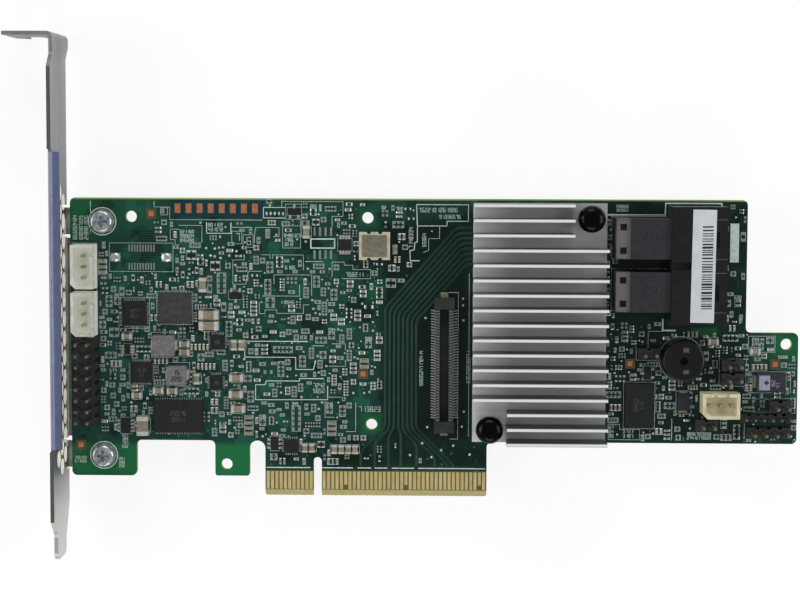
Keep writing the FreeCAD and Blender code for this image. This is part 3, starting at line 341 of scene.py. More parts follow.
def bracketSteel():
    # zinc-plated sheet: satin along the blade, cooler on the level fold, with painted light and shade: lighter on the
    # bent tail, darker on the top edge and the fold's outer bend, near-white on the inner face below the board, and
    # bare steel painted near-white as a glint where it was punched
    material, shader, place = newFinish("zincPlatedSteel", "#8c8d90", 0.42, metallic=0.85)
    colour = surfaceOf(shader, place, ("#7f8083", "#9b9c9f"), 6.0, 0.2, 0.25, (0.35, 0.5), (1, 0.08, 1))
    spot = partsOf(place)
    facing = facingOf(shader)
    # painted light: the bent tail at the foot is lighter
    colour = blended(ranged(spot[1], *bracketLook["litTailReach"]), colour, bracketLook["litTail"])
    # painted shade: the sheet's top edge is darker
    shadedRim = calc("GREATER_THAN", spot[2], bracketTop - 0.2 * mm)
    colour = blended(shadedRim, colour, bracketLook["shadedRim"])
    fold = calc("MULTIPLY", shadedRim, between(spot[1], *bracketLook["foldReach"]))
    colour = blended(fold, colour, bracketLook["fold"])
    # painted shade: the outer bend of the fold is a deeper blue where it faces away; painted light: the inner face
    # below the board, which lies in shadow, is made near-white
    bend = calc("MULTIPLY", ranged(facing[0], -0.1, -0.6), fold)
    colour = blended(bend, colour, bracketLook["bend"])
    inside = calc("MULTIPLY", calc("LESS_THAN", spot[2], -0.2 * mm), calc("GREATER_THAN", facing[0], 0.5))
    inside = calc("MULTIPLY", inside, between(spot[1], *bracketLook["litInsideReach"]))
    colour = blended(inside, colour, bracketLook["inside"])
    # sheared faces of the vents, in the blade below the fold: bare steel, painted near-white as a glint
    punchedGlint = between(spot[1], *bracketLook["ventReach"])
    for mask in (calc("LESS_THAN", calc("ABSOLUTE", facing[0]), 0.5),
                 calc("LESS_THAN", spot[0], boardLow.x - 1.4 * mm),
                 calc("LESS_THAN", spot[2], bracketTop - 2 * mm)):
        punchedGlint = calc("MULTIPLY", punchedGlint, mask)
    feed(shader, "Base Color", blended(punchedGlint, colour, bracketLook["punchedGlint"]))
    # the painted glint and the painted light on the inner face are made less metallic
    pale = calc("MAXIMUM", punchedGlint, inside)
    feed(shader, "Metallic", ranged(pale, 0.0, 1.0, *bracketLook["metallic"]))
    return material


def agedCopper():
    # bare copper: the contact row keeps its colour, the square lands have browned round a clean spot
    material, shader, place = newFinish("agedCopper", "#a8714c", 0.5, metallic=0.7)
    base = surfaceOf(shader, place, ("#96623f", "#c08058"), 0.7, 0.12, 0.3, (0.42, 0.6))
    row = between(partsOf(place)[0], -33.5 * mm, -13 * mm)
    feed(shader, "Base Color", blended(row, "#65503c", base))
    return material


def milkyNylon(name, tones, radius, glow):
    # unfilled nylon passes light through its walls and skin; the recesses are kept pale by a painted glow, an emission
    # in its own colour that grows lower down
    material, shader, place = newFinish(name, tones[0], 0.45, ior=1.53)
    surfaceOf(shader, place, tones, 2.0, 0.25, 0.3, (0.4, 0.52))
    shader.inputs["Subsurface Weight"].default_value = 0.6
    shader.inputs["Subsurface Radius"].default_value = (1.0, 0.95, 0.8)
    shader.inputs["Subsurface Scale"].default_value = radius * mm
    # painted glow: emission in the nylon's own colour, strongest low in the recesses
    shader.inputs["Emission Color"].default_value = linear(tones[0])
    paintedGlow = ranged(partsOf(place)[2], 5.6 * mm, 3.0 * mm, 0.0, glow)
    feed(shader, "Emission Strength", paintedGlow)
    return material


def housingPlastic():
    # glass-filled nylon: the rear latch strip is paler than the body ahead of it
    material, shader, place = newFinish("glassFilledNylon", "#2b2c30", 0.5, ior=1.53, level=0.3)
    colour = surfaceOf(shader, place, ("#222226", "#2c2c30"), 2.0, 0.2, 0.4, (0.36, 0.5))
    strip = calc("LESS_THAN", partsOf(place)[0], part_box("port_housing_1")[0].x + 3.2 * mm)
    feed(shader, "Base Color", blended(strip, colour, "#605c60"))
    return material


def goldFinger():
    # hard gold over nickel: wiped along the finger by insertion
    material, shader, place = newFinish("hardGold", "#c2ab6c", 0.45, metallic=0.8)
    surfaceOf(shader, place, ("#c9b679", "#e2d19a"), 0.8, 0.15, 0.2, (0.38, 0.55), (1, 0.08, 1))
    return material


finishes = {
    "board": solderMask(),
    "edge_contacts_front": goldFinger(),
    "bare_pads": agedCopper(),
    "bracket": bracketSteel(),
    "bracket_screws": metal("brightZincScrew", ("#6f7a80", "#eef3f6"), 0.3, toneSize=0.8, metallic=0.75),
    "heat_sink": heatSinkAluminium(),
    "push_pins": moulded("blackNylonPin", ("#010102", "#030304"), 0.24, level=0.12),
    "push_pin_springs": metal("springWire", ("#7d7f82", "#a3a5a8"), 0.3),
    "thermal_pad": moulded("thermalSilicone", ("#9a6d72", "#b58489"), 0.75),
    "controller_substrate": moulded("packageLaminate", ("#1f5a35", "#2c6d43"), 0.5),
    "controller_lid": metal("nickelLid", ("#8f9290", "#b3b6b3"), 0.35),
    "port_shroud": moulded("blackPortResin", ("#0e0e11", "#17171b"), 0.38),
    "port_housing_1": housingPlastic(),
    "port_label": moulded("labelPaper", ("#adb3b7", "#bec3c7"), 0.7, grain=0.15, toneSize=4.0),
    # the last figure is the strength of the painted glow in the recesses
    "led_header_shells": milkyNylon("naturalNylon", ("#c0c1b6", "#d3d4cb"), 1.6, 0.33),
    "fan_header_shell": milkyNylon("agedCreamNylon", ("#b4ad8f", "#ccc6ad"), 1.2, 0.21),
    "shrouded_header_pins": metal("tinnedBrass", ("#8d8a72", "#c2bea0"), 0.34, toneSize=0.6, metallic=0.8),
    "tall_header_base": moulded("headerPolyester", ("#1c1c1e", "#2b2b2b"), 0.55),
    "tall_header_pins": metal("agedTin", ("#5f5c4c", "#8a8672"), 0.4, toneSize=0.6, metallic=0.8),
    "cache_connector_contacts": metal("brightTin", ("#8f928d", "#bcbfb9"), 0.4, toneSize=0.5, metallic=0.35),
    "solder_joints": metal("leadFreeSolder", ("#a9adad", "#d8dbda"), 0.3, toneSize=0.5, metallic=0.7),
    "cache_connector": moulded("connectorPolyamide", ("#1c1f1f", "#2d302f"), 0.5),
    "buzzer": moulded("buzzerCase", ("#09090b", "#121214"), 0.36),
    "oscillator_base": moulded("ceramicRim", ("#9b977f", "#bdb99e"), 0.45, toneSize=0.8),
    "oscillator_cover": metal("kovarLid", ("#8c8675", "#a29c8a"), 0.45, toneSize=1.0),
    "flash_memory": moulded("epoxyMould", ("#121316", "#1e1f22"), 0.42, toneSize=1.2, grain=0.12, bump=0.5),
    "power_manager": moulded("epoxyMouldGrey", ("#2a292b", "#3b393b"), 0.45, toneSize=1.2, grain=0.12, bump=0.5),
    "inductors": moulded("pressedFerrite", ("#524f53", "#736e72"), 0.55, toneSize=1.0, grain=0.1, bump=0.6),
    "inductor_terminals": metal("tinnedCopper", ("#a9a79f", "#d2d0c6"), 0.4, toneSize=0.5, metallic=0.4),
    "ceramic_capacitors": moulded("bariumTitanate", ("#6a6353", "#8a826f"), 0.5, toneSize=0.8),
    "moulded_bodies": moulded("tantalumCase", ("#1d1e28", "#2a2b37"), 0.5, toneSize=1.0),
}
sameFinish = {
    "edge_contacts_back": "edge_contacts_front", "port_housing_2": "port_housing_1",
    "port_contacts": "edge_contacts_front", "small_header_bases": "tall_header_base",
    "small_header_pins": "tall_header_pins", "cache_connector_nails": "shrouded_header_pins",
    "buzzer_pins": "inductor_terminals", "buffer_memory": "flash_memory", "regulator_chips": "flash_memory",
    "small_chip_bodies": "flash_memory", "small_chip_leads": "inductor_terminals",
    "ceramic_capacitor_ends": "inductor_terminals", "moulded_terminals": "shrouded_header_pins",
}
silkInk = moulded("silkscreenInk", ("#a9b8b3", "#cbd5d1"), 0.7, toneSize=1.0, grain=0.08)
fineInk = moulded("fineSilkscreenInk", ("#97aaa2", "#bdcac4"), 0.7, toneSize=1.0, grain=0.08)
marginLaminate = moulded("bareLaminate", ("#96a062", "#bfc58d"), 0.7, toneSize=0.8, grain=0.1)
coveredTrack = moulded("maskedTrack", ("#132f27", "#183a30"), 0.42, toneSize=4.0, level=0.2)
tentedVia = moulded("tentedVia", ("#2b5345", "#3c6655"), 0.35, toneSize=0.5)
blackGlaze = moulded("resistorGlaze", ("#0e0e10", "#1a1a1d"), 0.4, toneSize=0.6)
paleCeramic = moulded("paleCeramic", ("#9a8f7a", "#b7ad97"), 0.5, toneSize=0.6)
tinnedPad = metal("tinnedPad", ("#7b827d", "#a4aba6"), 0.4, toneSize=0.4, metallic=0.6)
laserMark = moulded("laserMark", ("#3c3b3d", "#4e4c4f"), 0.7, toneSize=0.6)
printInk = moulded("blackPrintInk", ("#0d0d10", "#17171c"), 0.6, toneSize=0.6)
lavenderInk = moulded("lavenderPrintInk", ("#7b7b8a", "#8f8f9e"), 0.6, toneSize=0.8)
solder = finishes["solder_joints"]
print("finishes ready")


def dressNodes():
    for name, node in nodes.items():
        finish = finishes[sameFinish.get(name, name)]
        if not node.material_slots:
            node.data.materials.append(None)
        for slot in node.material_slots:
            slot.link = "OBJECT"
            slot.material = finish


dressNodes()
print("CAD nodes dressed")


def newTree(name, sizes):
    tree = bpy.data.node_groups.new(name, "GeometryNodeTree")
    tree.interface.new_socket("Geometry", in_out="INPUT", socket_type="NodeSocketGeometry")
    for label, kind in sizes:
        tree.interface.new_socket(label, in_out="INPUT", socket_type=kind)
    tree.interface.new_socket("Geometry", in_out="OUTPUT", socket_type="NodeSocketGeometry")
    return tree, addNode(tree, "NodeGroupInput").outputs


def endTree(tree, geometry, finish):
    whole = addNode(tree, "GeometryNodeRealizeInstances", {"Geometry": geometry})
    painted = addNode(tree, "GeometryNodeSetMaterial", {"Geometry": whole.outputs[0], "Material": finish})
    addNode(tree, "NodeGroupOutput", {"Geometry": painted.outputs[0]})
    return tree


def stripTree():
    # a flat strip along every edge of the mesh
    tree, given = newTree("stripsAlongLines", [("Width", "NodeSocketFloat"), ("Thickness", "NodeSocketFloat"),
                                               ("Finish", "NodeSocketMaterial")])
    line = addNode(tree, "GeometryNodeMeshToCurve", {"Mesh": given["Geometry"]})
    level = addNode(tree, "GeometryNodeSetCurveNormal", {"Curve": line.outputs[0]}, mode="Z_UP")
    section = addNode(tree, "GeometryNodeCurvePrimitiveQuadrilateral", {
        "Width": given["Width"], "Height": given["Thickness"]}, mode="RECTANGLE")
    strip = addNode(tree, "GeometryNodeCurveToMesh", {"Curve": level.outputs[0], "Profile Curve": section.outputs[0],
                                                      "Fill Caps": True})
    return endTree(tree, strip.outputs[0], given["Finish"])


def shapeTree():
    # one shape on every point, sized and turned by the point's own attributes
    tree, given = newTree("shapesOnPoints", [("Shape", "NodeSocketObject"), ("Finish", "NodeSocketMaterial")])
    shape = addNode(tree, "GeometryNodeObjectInfo", {"Object": given["Shape"]})
    size, turn = (addNode(tree, "GeometryNodeInputNamedAttribute", {"Name": name}, data_type="FLOAT_VECTOR")
                  for name in ("size", "turn"))
    angle = addNode(tree, "FunctionNodeEulerToRotation", {"Euler": turn.outputs[0]})
    placed = addNode(tree, "GeometryNodeInstanceOnPoints", {
        "Points": given["Geometry"], "Instance": shape.outputs["Geometry"], "Rotation": angle.outputs[0],
        "Scale": size.outputs[0]})
    return endTree(tree, placed.outputs[0], given["Finish"])


trees = {"strips": stripTree(), "shapes": shapeTree()}


def grow(name, mesh, tree, values):
    piece = bpy.data.objects.new(name, mesh)
    scene.collection.objects.link(piece)
    modifier = piece.modifiers.new("grow", "NODES")
    modifier.node_group = tree
    for item in tree.interface.items_tree:
        if item.in_out == "INPUT" and item.name in values:
            modifier[item.identifier] = values[item.name]
    piece.update_tag()
    bpy.context.view_layer.update()
    made = bpy.data.meshes.new_from_object(piece.evaluated_get(bpy.context.evaluated_depsgraph_get()))
    piece.modifiers.clear()
    piece.data = made
    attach(piece, "root")
    print(f"{name}: {len(made.polygons)} faces")


def walled(shape, rings):
    # walls between rings of corners, low to high, closed at both ends
    for low, high in zip(rings, rings[1:]):
        for i in range(len(low)):
            j = (i + 1) % len(low)
            shape.faces.new((low[i], low[j], high[j], high[i]))
    shape.faces.new(rings[-1])
    shape.faces.new(rings[0][::-1])
    return shape


def turnsOf(sides):
    return [2 * math.pi * i / sides for i in range(sides)]


def blockShape():
    # one unit each way on its base, with its top edges broken
    shape = bmesh.new()
    corners = [(-1, -1), (1, -1), (1, 1), (-1, 1)]
    return walled(shape, [[shape.verts.new((x * half, y * half, z)) for x, y in corners]
                          for half, z in ((0.5, 0.0), (0.5, 0.9), (0.44, 1.0))])


def roundShape(rings, sides=8):
    # a turned form from (radius, height) rings
    shape = bmesh.new()
    return walled(shape, [[shape.verts.new((radius * math.cos(t), radius * math.sin(t), z)) for t in turnsOf(sides)]
                          for radius, z in rings])


def rampShape():
    # a solder fillet: full height at x = 0, thin at x = 1
    shape = bmesh.new()
    outline = [(0, 0), (1, 0), (1, 0.08), (0.45, 0.3), (0, 1)]
    return walled(shape, [[shape.verts.new((x, y, z)) for x, z in outline] for y in (-0.5, 0.5)])


def keepShape(name, shape):
    bmesh.ops.recalc_face_normals(shape, faces=shape.faces)
    mesh = bpy.data.meshes.new(name)
    shape.to_mesh(mesh)
    shape.free()
    kept = bpy.data.objects.new(name, mesh)
    scene.collection.objects.link(kept)
    return kept


points = {}  # (piece, shape) -> list of (place, size, angle), in metres
lines = {}   # piece -> list of (points, closed), in metres


def metres(*values):
    return tuple(value * mm for value in values)


def put(piece, shape, x, y, z, size, angle=0.0):
    points.setdefault((piece, shape), []).append(((x, y, z), size, angle))


def draw(piece, path, z, closed=False):
    lines.setdefault(piece, []).append(([(x, y, z) for x, y in path], closed))


def drawBox(piece, x0, x1, y0, y1, z):
    draw(piece, [(x0, y0), (x1, y0), (x1, y1), (x0, y1)], z, True)


def drawRing(piece, x, y, radius, z):
    draw(piece, [(x + radius * math.cos(t), y + radius * math.sin(t)) for t in turnsOf(40)], z, True)


cell = 0.25 * mm
columns = int((boardHigh.x - boardLow.x) / cell)
rows = int((boardHigh.y - boardLow.y) / cell)


def survey(side):
    # True where the bare board shows, looking down from the front (side 1) or up from the back (side -1)
    graph = bpy.context.evaluated_depsgraph_get()
    bare = np.zeros((columns, rows), bool)
    for i in range(columns):
        x = boardLow.x + (i + 0.5) * cell
        for j in range(rows):
            origin = Vector((x, boardLow.y + (j + 0.5) * cell, 0.1 * side))
            hit, _, normal, _, seen, _ = scene.ray_cast(graph, origin, Vector((0, 0, -side)), distance=0.2)
            bare[i, j] = hit and seen.name == "board" and abs(normal.z) > 0.99
    return bare


free = {1: survey(1), -1: survey(-1)}
faceHeight = {1: 0.0, -1: backFace}
print("board surveyed:", int(free[1].sum()), "free cells in front")


def cellsOf(x0, x1, y0, y1, margin):
    i0 = max(0, int((x0 - margin - boardLow.x) / cell))
    i1 = min(columns, int(math.ceil((x1 + margin - boardLow.x) / cell)))
    j0 = max(0, int((y0 - margin - boardLow.y) / cell))
    j1 = min(rows, int(math.ceil((y1 + margin - boardLow.y) / cell)))
    return slice(i0, i1), slice(j0, j1)


def block(x0, x1, y0, y1, margin=0.0, sides=(1,)):
    for side in sides:
        free[side][cellsOf(x0, x1, y0, y1, margin)] = False


def claim(x0, x1, y0, y1, side=1, margin=0.12 * mm):
    cells = cellsOf(x0, x1, y0, y1, margin)
    inside = x0 > boardLow.x and x1 < boardHigh.x and y0 > boardLow.y and y1 < boardHigh.y
    if not inside or not free[side][cells].all():
        return False
    free[side][cells] = False
    return True


def blockLine(start, end, margin):
    steps = max(1, int((end - start).length / cell))
    for i in range(steps + 1):
        spot = start.lerp(end, i / steps)
        block(spot.x, spot.x, spot.y, spot.y, margin)


# plain numerals, each a choice of seven strokes
segments = {"a": ((0, 2), (1, 2)), "b": ((1, 2), (1, 1)), "c": ((1, 1), (1, 0)), "d": ((0, 0), (1, 0)),
            "e": ((0, 0), (0, 1)), "f": ((0, 1), (0, 2)), "g": ((0, 1), (1, 1))}
digitForms = ["abcdef", "bc", "abged", "abgcd", "fgbc", "afgcd", "afgecd", "abc", "abcdefg", "abcdfg"]
legend = {"thickness": 0.02, "fine": 0.13, "bold": 0.24, "thick": 0.42, "figureStep": 0.78, "rowStep": 1.45,
          "lastGap": 0.28, "markStep": 1.5, "markLift": 0.004 * mm, "outlineRoom": 0.1 * mm, "openSpan": 0.5 * mm}
inkZ = legend["thickness"] / 2 * mm


def randomFigures(count):
    return "".join(str(rng.randint(0, 9)) for _ in range(count))


def writeNumber(piece, number, x, y, height, z, upright=True):
    # x and y are the lower left corner; a number that isn't upright reads from the bottom up
    half = height / 2
    step = height * legend["figureStep"]
    for place, figure in enumerate(number):
        for name in digitForms[int(figure)]:
            offsets = [(place * step + u * half, v * half) for u, v in segments[name]]
            draw(piece, [(x + du, y + dv) if upright else (x - dv, y + du) for du, dv in offsets], z)


# outlines printed on the component side, in mm
fineOutlines = [
    [(-52.4, 68.2), (-52.4, 60.7)], [(-56.8, 58.4), (-51.1, 58.4), (-51.1, 37.1)],
    [(-32, 62.6), (-26.7, 62.6), (-26.7, 58.6)], [(-19.8, 62.2), (-15.1, 62.2)],
    [(-32, 61.7), (-34, 61.7), (-34, 59.3), (-32.9, 59.3), (-32.9, 58.1), (-31.9, 58.1)],
    [(-37.7, 68.1), (-37.7, 66.8), (-34.1, 66.8), (-34.1, 63.9), (-12.8, 63.9)],
    [(-12.9, 55.9), (-16.9, 55.9), (-16.9, 54.7), (-19.6, 54.7), (-19.6, 49.1), (-16.6, 49.1), (-16, 52.1),
     (-12.9, 52.1)],
    [(-14.6, 58.5), (-14.6, 60.1), (-14.3, 62.2), (-8.9, 62.2), (-8.9, 60.1), (-10.2, 60.1)],
    [(-8.3, 66.7), (-8.3, 68.2), (5.8, 68.2), (5.8, 64.8), (3.3, 64.8), (3.3, 62.4)],
    [(-17.1, 55.3), (-17.1, 55.9), (-11, 55.9), (-11, 55)], [(-10.4, 55), (-10.4, 55.9), (-3.3, 55.9), (-3.3, 52.4)],
    [(-2.9, 54.4), (1.2, 54.4)],
    [(3.3, 50.9), (3.3, 54.3), (6.1, 54.3), (6.1, 53.6), (8.1, 53.6), (8.1, 52.6), (12.2, 52.6), (12.2, 50.5),
     (5.6, 50.5)],
    [(-10.1, 49.1), (-10.1, 51.3), (-1.4, 51.3), (-1.4, 46.5)], [(-12.7, 46.4), (-4.2, 46.4), (-4.2, 49.1)],
    [(-2, 44.4), (-3.3, 44.4), (-3.3, 42.4), (-9.5, 42.4), (-9.5, 43.2), (-12.2, 43.2), (-12.2, 42.3),
     (-13.5, 42.3), (-13.5, 45)],
    [(1.7, 22.1), (1.7, 18.3), (3.9, 18.3)], [(2.3, 23), (5.7, 23), (5.7, 22.2), (6.4, 22.2)],
    [(8.8, 21.7), (8.8, 15), (6.6, 15)], [(-1.4, 34.9), (1.5, 34.9)], [(3.3, 35.4), (6.4, 35.4), (6.4, 33.9)],
    [(6.4, 31.7), (6.4, 30.2), (2.6, 30.2)],
    [(30.1, 47.4), (32.4, 47.4), (32.4, 13.4), (30.6, 13.4)], [(34.9, 51.8), (34.9, 14)],
    [(76.1, 35.1), (76.1, 38.7), (79.3, 38.7)], [(98.5, 17.4), (98.5, 13.8)],
    [(67.1, 17.1), (69.8, 17.1), (69.8, 15.9), (74.4, 15.9), (74.4, 13.5), (67.2, 13.5), (67.1, 17.1)],
    [(81.8, 18.5), (81.8, 13.4)], [(28, 62.6), (28, 59.8), (25.5, 59.8), (25.5, 57.1), (24.3, 56.6)],
]
boldOutlines = [
    [(22.9, 62.7), (22.7, 67.6), (34.6, 67.6), (34.6, 63.8), (29.7, 63.8), (29.7, 62.7), (22.9, 62.7), (22.9, 59),
     (22.3, 58.8), (22.2, 57.2), (21.2, 57), (21.3, 54.7), (23.4, 54.7)],
    [(-2.3, 35.9), (-16.9, 35.9), (-16.9, 32.2), (-5.1, 32.2), (-5.1, 29.4), (-1, 29.4), (-0.5, 31.5)],
    [(1.4, 27.3), (-4.2, 27.3), (-4.2, 26.7), (-11.9, 26.7), (-12.2, 25.8), (-14.4, 25.8), (-14.4, 22.3), (2.3, 22.4),
     (2.3, 25.6)],
    [(-11.9, 6.5), (-1.7, 6.5)], [(1, 6.5), (8.2, 6.5)], [(9.2, 6.5), (12.4, 6.5)], [(13.2, 6.5), (16.2, 6.5)],
    [(17.2, 6.5), (22.4, 6.5)], [(23.3, 6.5), (38.8, 6.5)],
    [(-25.6, 63.3), (-25.6, 60.8), (-20, 60.8), (-20, 63.3)],
]
thickOutlines = [[(66.5, 65.4), (79.7, 65.4), (79.7, 68.1), (92.5, 68.1), (92.5, 66.9)],
                 [(79.4, 41.6), (79.4, 38.9), (82.4, 38.9)]]
printedBoxes = [(-48.1, -33.4, 51.9, 58.5), (-19.8, -17.5, 58.4, 61.3), (-17.2, -14.9, 57.6, 60.5),
                (-36.2, -34.6, 65.0, 66.6), (-8.1, -4.0, 57.5, 62.6), (-7.4, -3.7, 64.1, 67.6),
                (70.6, 77.8, 16.1, 26.9), (73.4, 79.4, 32.0, 34.9), (92.5, 98.7, 26.1, 32.4), (99.2, 108.9, 24.6, 29.5),
                (99.1, 105.2, 34.0, 37.7), (82.7, 86.2, 19.6, 24.9), (100.4, 103.9, 20.1, 23.2),
                (104.4, 110.0, 19.9, 23.3), (-46.0, -38.9, 38.7, 45.9), (-37.2, -29.0, 39.7, 47.3),
                (67.5, 80.2, 55.4, 65.1), (67.5, 80.2, 43.5, 53.1)]
stackedNumbers = [  # x, y of the lowest, rows, how many figures, figure height, upright
    (-55.6, 59.3, 1, 9, 0.8, False), (-54.2, 59.3, 1, 9, 0.8, False), (-53.0, 59.3, 1, 9, 0.8, False),
    (-25.2, 61.3, 2, 6, 0.75, True), (-31.7, 58.8, 3, 6, 0.7, True), (-18.9, 59.1, 1, 1, 1.7, True),
    (-16.3, 58.2, 1, 1, 1.7, True), (-7.7, 58.0, 3, 4, 0.7, True), (-35.9, 65.4, 1, 1, 0.9, True),
    (23.2, 65.9, 1, 13, 0.9, True), (28.0, 64.4, 1, 8, 0.8, True), (21.9, 57.6, 1, 7, 0.9, False),
    (24.9, 58.0, 1, 5, 0.8, False), (9.6, 19.7, 1, 6, 1.1, True), (-45.4, 10.9, 5, 3, 0.6, True),
    (-56.5, 7.4, 2, 6, 0.6, True), (-46.2, 6.3, 3, 3, 0.6, True), (100.0, 34.5, 3, 5, 0.7, True),
    (67.4, 14.0, 3, 2, 0.7, True), (70.6, 14.0, 2, 4, 0.8, True), (85.4, 13.7, 2, 11, 0.65, True),
    (68.5, 66.2, 2, 6, 0.6, True), (97.6, 40.6, 1, 4, 0.7, False), (35.2, 26.5, 1, 12, 0.8, False),
    (24.3, 25.8, 1, 14, 0.75, False), (-7.5, 52.6, 1, 4, 0.8, True), (6.5, 51.0, 1, 6, 0.9, True),
    (-1.0, 24.0, 2, 4, 0.9, True), (-8.6, 44.6, 1, 6, 0.7, True), (106.0, 32.6, 1, 5, 0.6, True),
]


def printLegends():
    for piece, outlines in (("legend_fine", fineOutlines), ("legend_bold", boldOutlines),
                            ("legend_thick", thickOutlines)):
        for outline in outlines:
            path = [metres(*spot) for spot in outline]
            draw(piece, path, inkZ)
            for start, end in zip(path, path[1:]):
                (x0, x1), (y0, y1) = sorted((start[0], end[0])), sorted((start[1], end[1]))
                if min(x1 - x0, y1 - y0) <= legend["openSpan"]:
                    block(x0, x1, y0, y1, legend["outlineRoom"])
    for box in printedBoxes:
        drawBox("legend_fine", *metres(*box), inkZ)
    for x, y, count, figures, height, upright in stackedNumbers:
        wide = figures * height * legend["figureStep"]
        sizeX, sizeY = (wide, height) if upright else (height, wide)
        left = x if upright else x - height
        for row in range(count):
            bottom = y + row * height * legend["rowStep"]
            writeNumber("legend_fine", randomFigures(figures), *metres(x, bottom, height), inkZ, upright)
            block(*metres(left, left + sizeX, bottom, bottom + sizeY))


def solidsOf(name):
    # the box of each separate solid of a node
    mesh = bmesh.new()
    mesh.from_mesh(nodes[name].data)
    bmesh.ops.remove_doubles(mesh, verts=mesh.verts, dist=0.001 * mm)
    seen = set()
    boxes = []
    for first in mesh.verts:
        if first in seen:
            continue
        seen.add(first)
        stack = [first]
        found = []
        while stack:
            vert = stack.pop()
            found.append(vert.co.copy())
            for edge in vert.link_edges:
                other = edge.other_vert(vert)
                if other not in seen:
                    seen.add(other)
                    stack.append(other)
        boxes.append(tuple(Vector([pick(co[k] for co in found) for k in range(3)]) for pick in (min, max)))
    mesh.free()
    return boxes


rings = {"screw": 3.15, "screwLand": (5.9, 5.9, 0.03), "screwRoom": 3.4, "boreRoom": 2.2, "buzzerGap": 0.25}


def ringScrewsAndBuzzer():
    for low, high in solidsOf("bracket_screws"):
        x, y, _ = (low + high) / 2
        drawRing("legend_bold", x, y, rings["screw"] * mm, inkZ)
        put("bare_lands", "via", x, y, 0, metres(*rings["screwLand"]))
        block(x, x, y, y, rings["screwRoom"] * mm, (1, -1))
    low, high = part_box("buzzer")
    x, y, _ = (low + high) / 2
    drawRing("legend_fine", x, y, (high.x - low.x) / 2 + rings["buzzerGap"] * mm, inkZ)
    for mount in frame["record"]["mounts"]:
        if mount["kind"] == "bore":
            x, y = mount["pos_m"][:2]
            block(x, x, y, y, rings["boreRoom"] * mm, (1, -1))


squareLands = [(-38.4, 65.25), (-55.0, 11.5), (10.5, 28.45), (72.0, 31.2), (105.3, 31.2)]
openVias = [(33.5, 46), (33.5, 44.5), (24.9, 41.5), (33.6, 41), (25.4, 16.2), (33.4, 16.4), (-25.7, 57.4),
            (-23.7, 57.3), (-21.8, 57.6), (-18.7, 56.7), (-24.7, 55.7), (-20.4, 55.7), (-26.6, 55.7), (-22.4, 55.1),
            (33.8, 19.8), (24.2, 12.4), (28.6, 10.8), (31.4, 11.9), (35.2, 9.8), (21.4, 9.6), (26.4, 9.2)]
# unfitted footprints in mm: piece, shape, first x, y, pitch, how many, size
landRows = [
    ("bare_lands", "block", -43.5, 57.3, 0.635, 10, (0.28, 1.6, 0.04)),
    ("bare_lands", "block", -43.5, 53.1, 0.635, 10, (0.28, 1.6, 0.04)),
    ("fillets", "dome", -46.7, 55.2, 11.8, 2, (2.6, 2.2, 0.35)),
    ("bare_lands", "block", -46.7, 55.2, 11.8, 2, (2.3, 2.0, 0.05)),
    ("bare_lands", "block", -0.75, 61.3, 1.27, 4, (0.45, 2.0, 0.04)),
    ("bare_lands", "block", -0.75, 56.0, 1.27, 4, (0.45, 2.0, 0.04)),
    ("fillets", "dome", -11.8, 65.4, 0.95, 5, (0.5, 0.9, 0.15)),
    ("legend_fields", "block", 95.55, 59.1, 0, 1, (2.0, 8.9, legend["thickness"])),
]
landBoxes = {"legend_thick": (-1.6, 3.9, 57.5, 59.6), "legend_bold": (-12.5, -7.4, 64.4, 66.8)}
landFields = [(-48.1, -33.4, 51.9, 58.5), (-1.8, 4.0, 55, 62.4), (-12.6, -7.3, 64.2, 67), (94.4, 96.8, 54, 64)]


def emptyFootprints():
    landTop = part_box("bare_pads")[1].z
    for spot in squareLands:
        put("land_spots", "block", *metres(*spot), landTop, metres(1.15, 1.15, 0.02))
    for x, y in openVias:
        put("test_lands", "dome", *metres(x, y), 0, metres(0.6, 0.6, 0.08))
        claim(*metres(x - 0.3, x + 0.3, y - 0.3, y + 0.3))
    for piece, shape, x, y, pitch, count, size in landRows:
        for i in range(count):
            put(piece, shape, *metres(x + i * pitch, y), 0, metres(*size))
    for piece, box in landBoxes.items():
        drawBox(piece, *metres(*box), inkZ)
    for field in landFields:
        block(*metres(*field))


# pairs of lanes fan out above the contacts, run up the board and turn in to the heat sink; in mm
trackSizes = {"width": 0.27, "thickness": 0.012, "pairGap": 0.3, "pitch": 1.02, "left": 15.6, "turn": 43.8,
              "run": 62.3, "runStep": 1.18, "sink": 35.6, "foot": 15.2, "footStep": 0.25, "end": 6.9, "bend": 0.7,
              "slope": 0.88, "fans": (-5.6, -3.4, -1.2, 0.6, 3.2, 6.4, 8.6, 10.8)}
trackZ = trackSizes["thickness"] / 2 * mm


def softened(path, reach):
    # each corner cut back by the reach, which reads as a rounded bend
    soft = [path[0]]
    for before, corner, after in zip(path, path[1:], path[2:]):
        here = Vector(corner)
        for other in (before, after):
            way = Vector(other) - here
            soft.append(tuple(here + way * min(0.45, reach / max(way.length, 0.01))))
    return soft + [path[-1]]


def drawTracks():
    size = trackSizes
    for i, fan in enumerate(size["fans"]):
        for side in (-0.5, 0.5):
            shift = side * size["pairGap"]
            lane = size["left"] + i * size["pitch"] + shift
            # turning lower by the tangent of an eighth of a turn keeps the lanes evenly apart
            turn = size["turn"] - (lane - size["left"]) * math.tan(math.pi / 8)
            most = turn + (size["sink"] - lane - 0.3) / size["slope"]
            run = min(size["run"] - i * size["runStep"] - shift, most)
            foot = size["foot"] + abs(i - (len(size["fans"]) - 1) / 2) * size["footStep"]
            drop = min(abs(fan), foot - size["end"] - 0.6)
            low = lane + math.copysign(drop, fan)
            path = [(size["sink"], run), (lane + (run - turn) * size["slope"], run), (lane, turn), (lane, foot),
                    (low, foot - drop), (low, size["end"])]
            draw("tracks", [metres(*spot) for spot in softened(path, size["bend"])], trackZ)
            for start, end in zip(path, path[1:]):
                blockLine(Vector(start) * mm, Vector(end) * mm, size["width"] / 2 * mm)


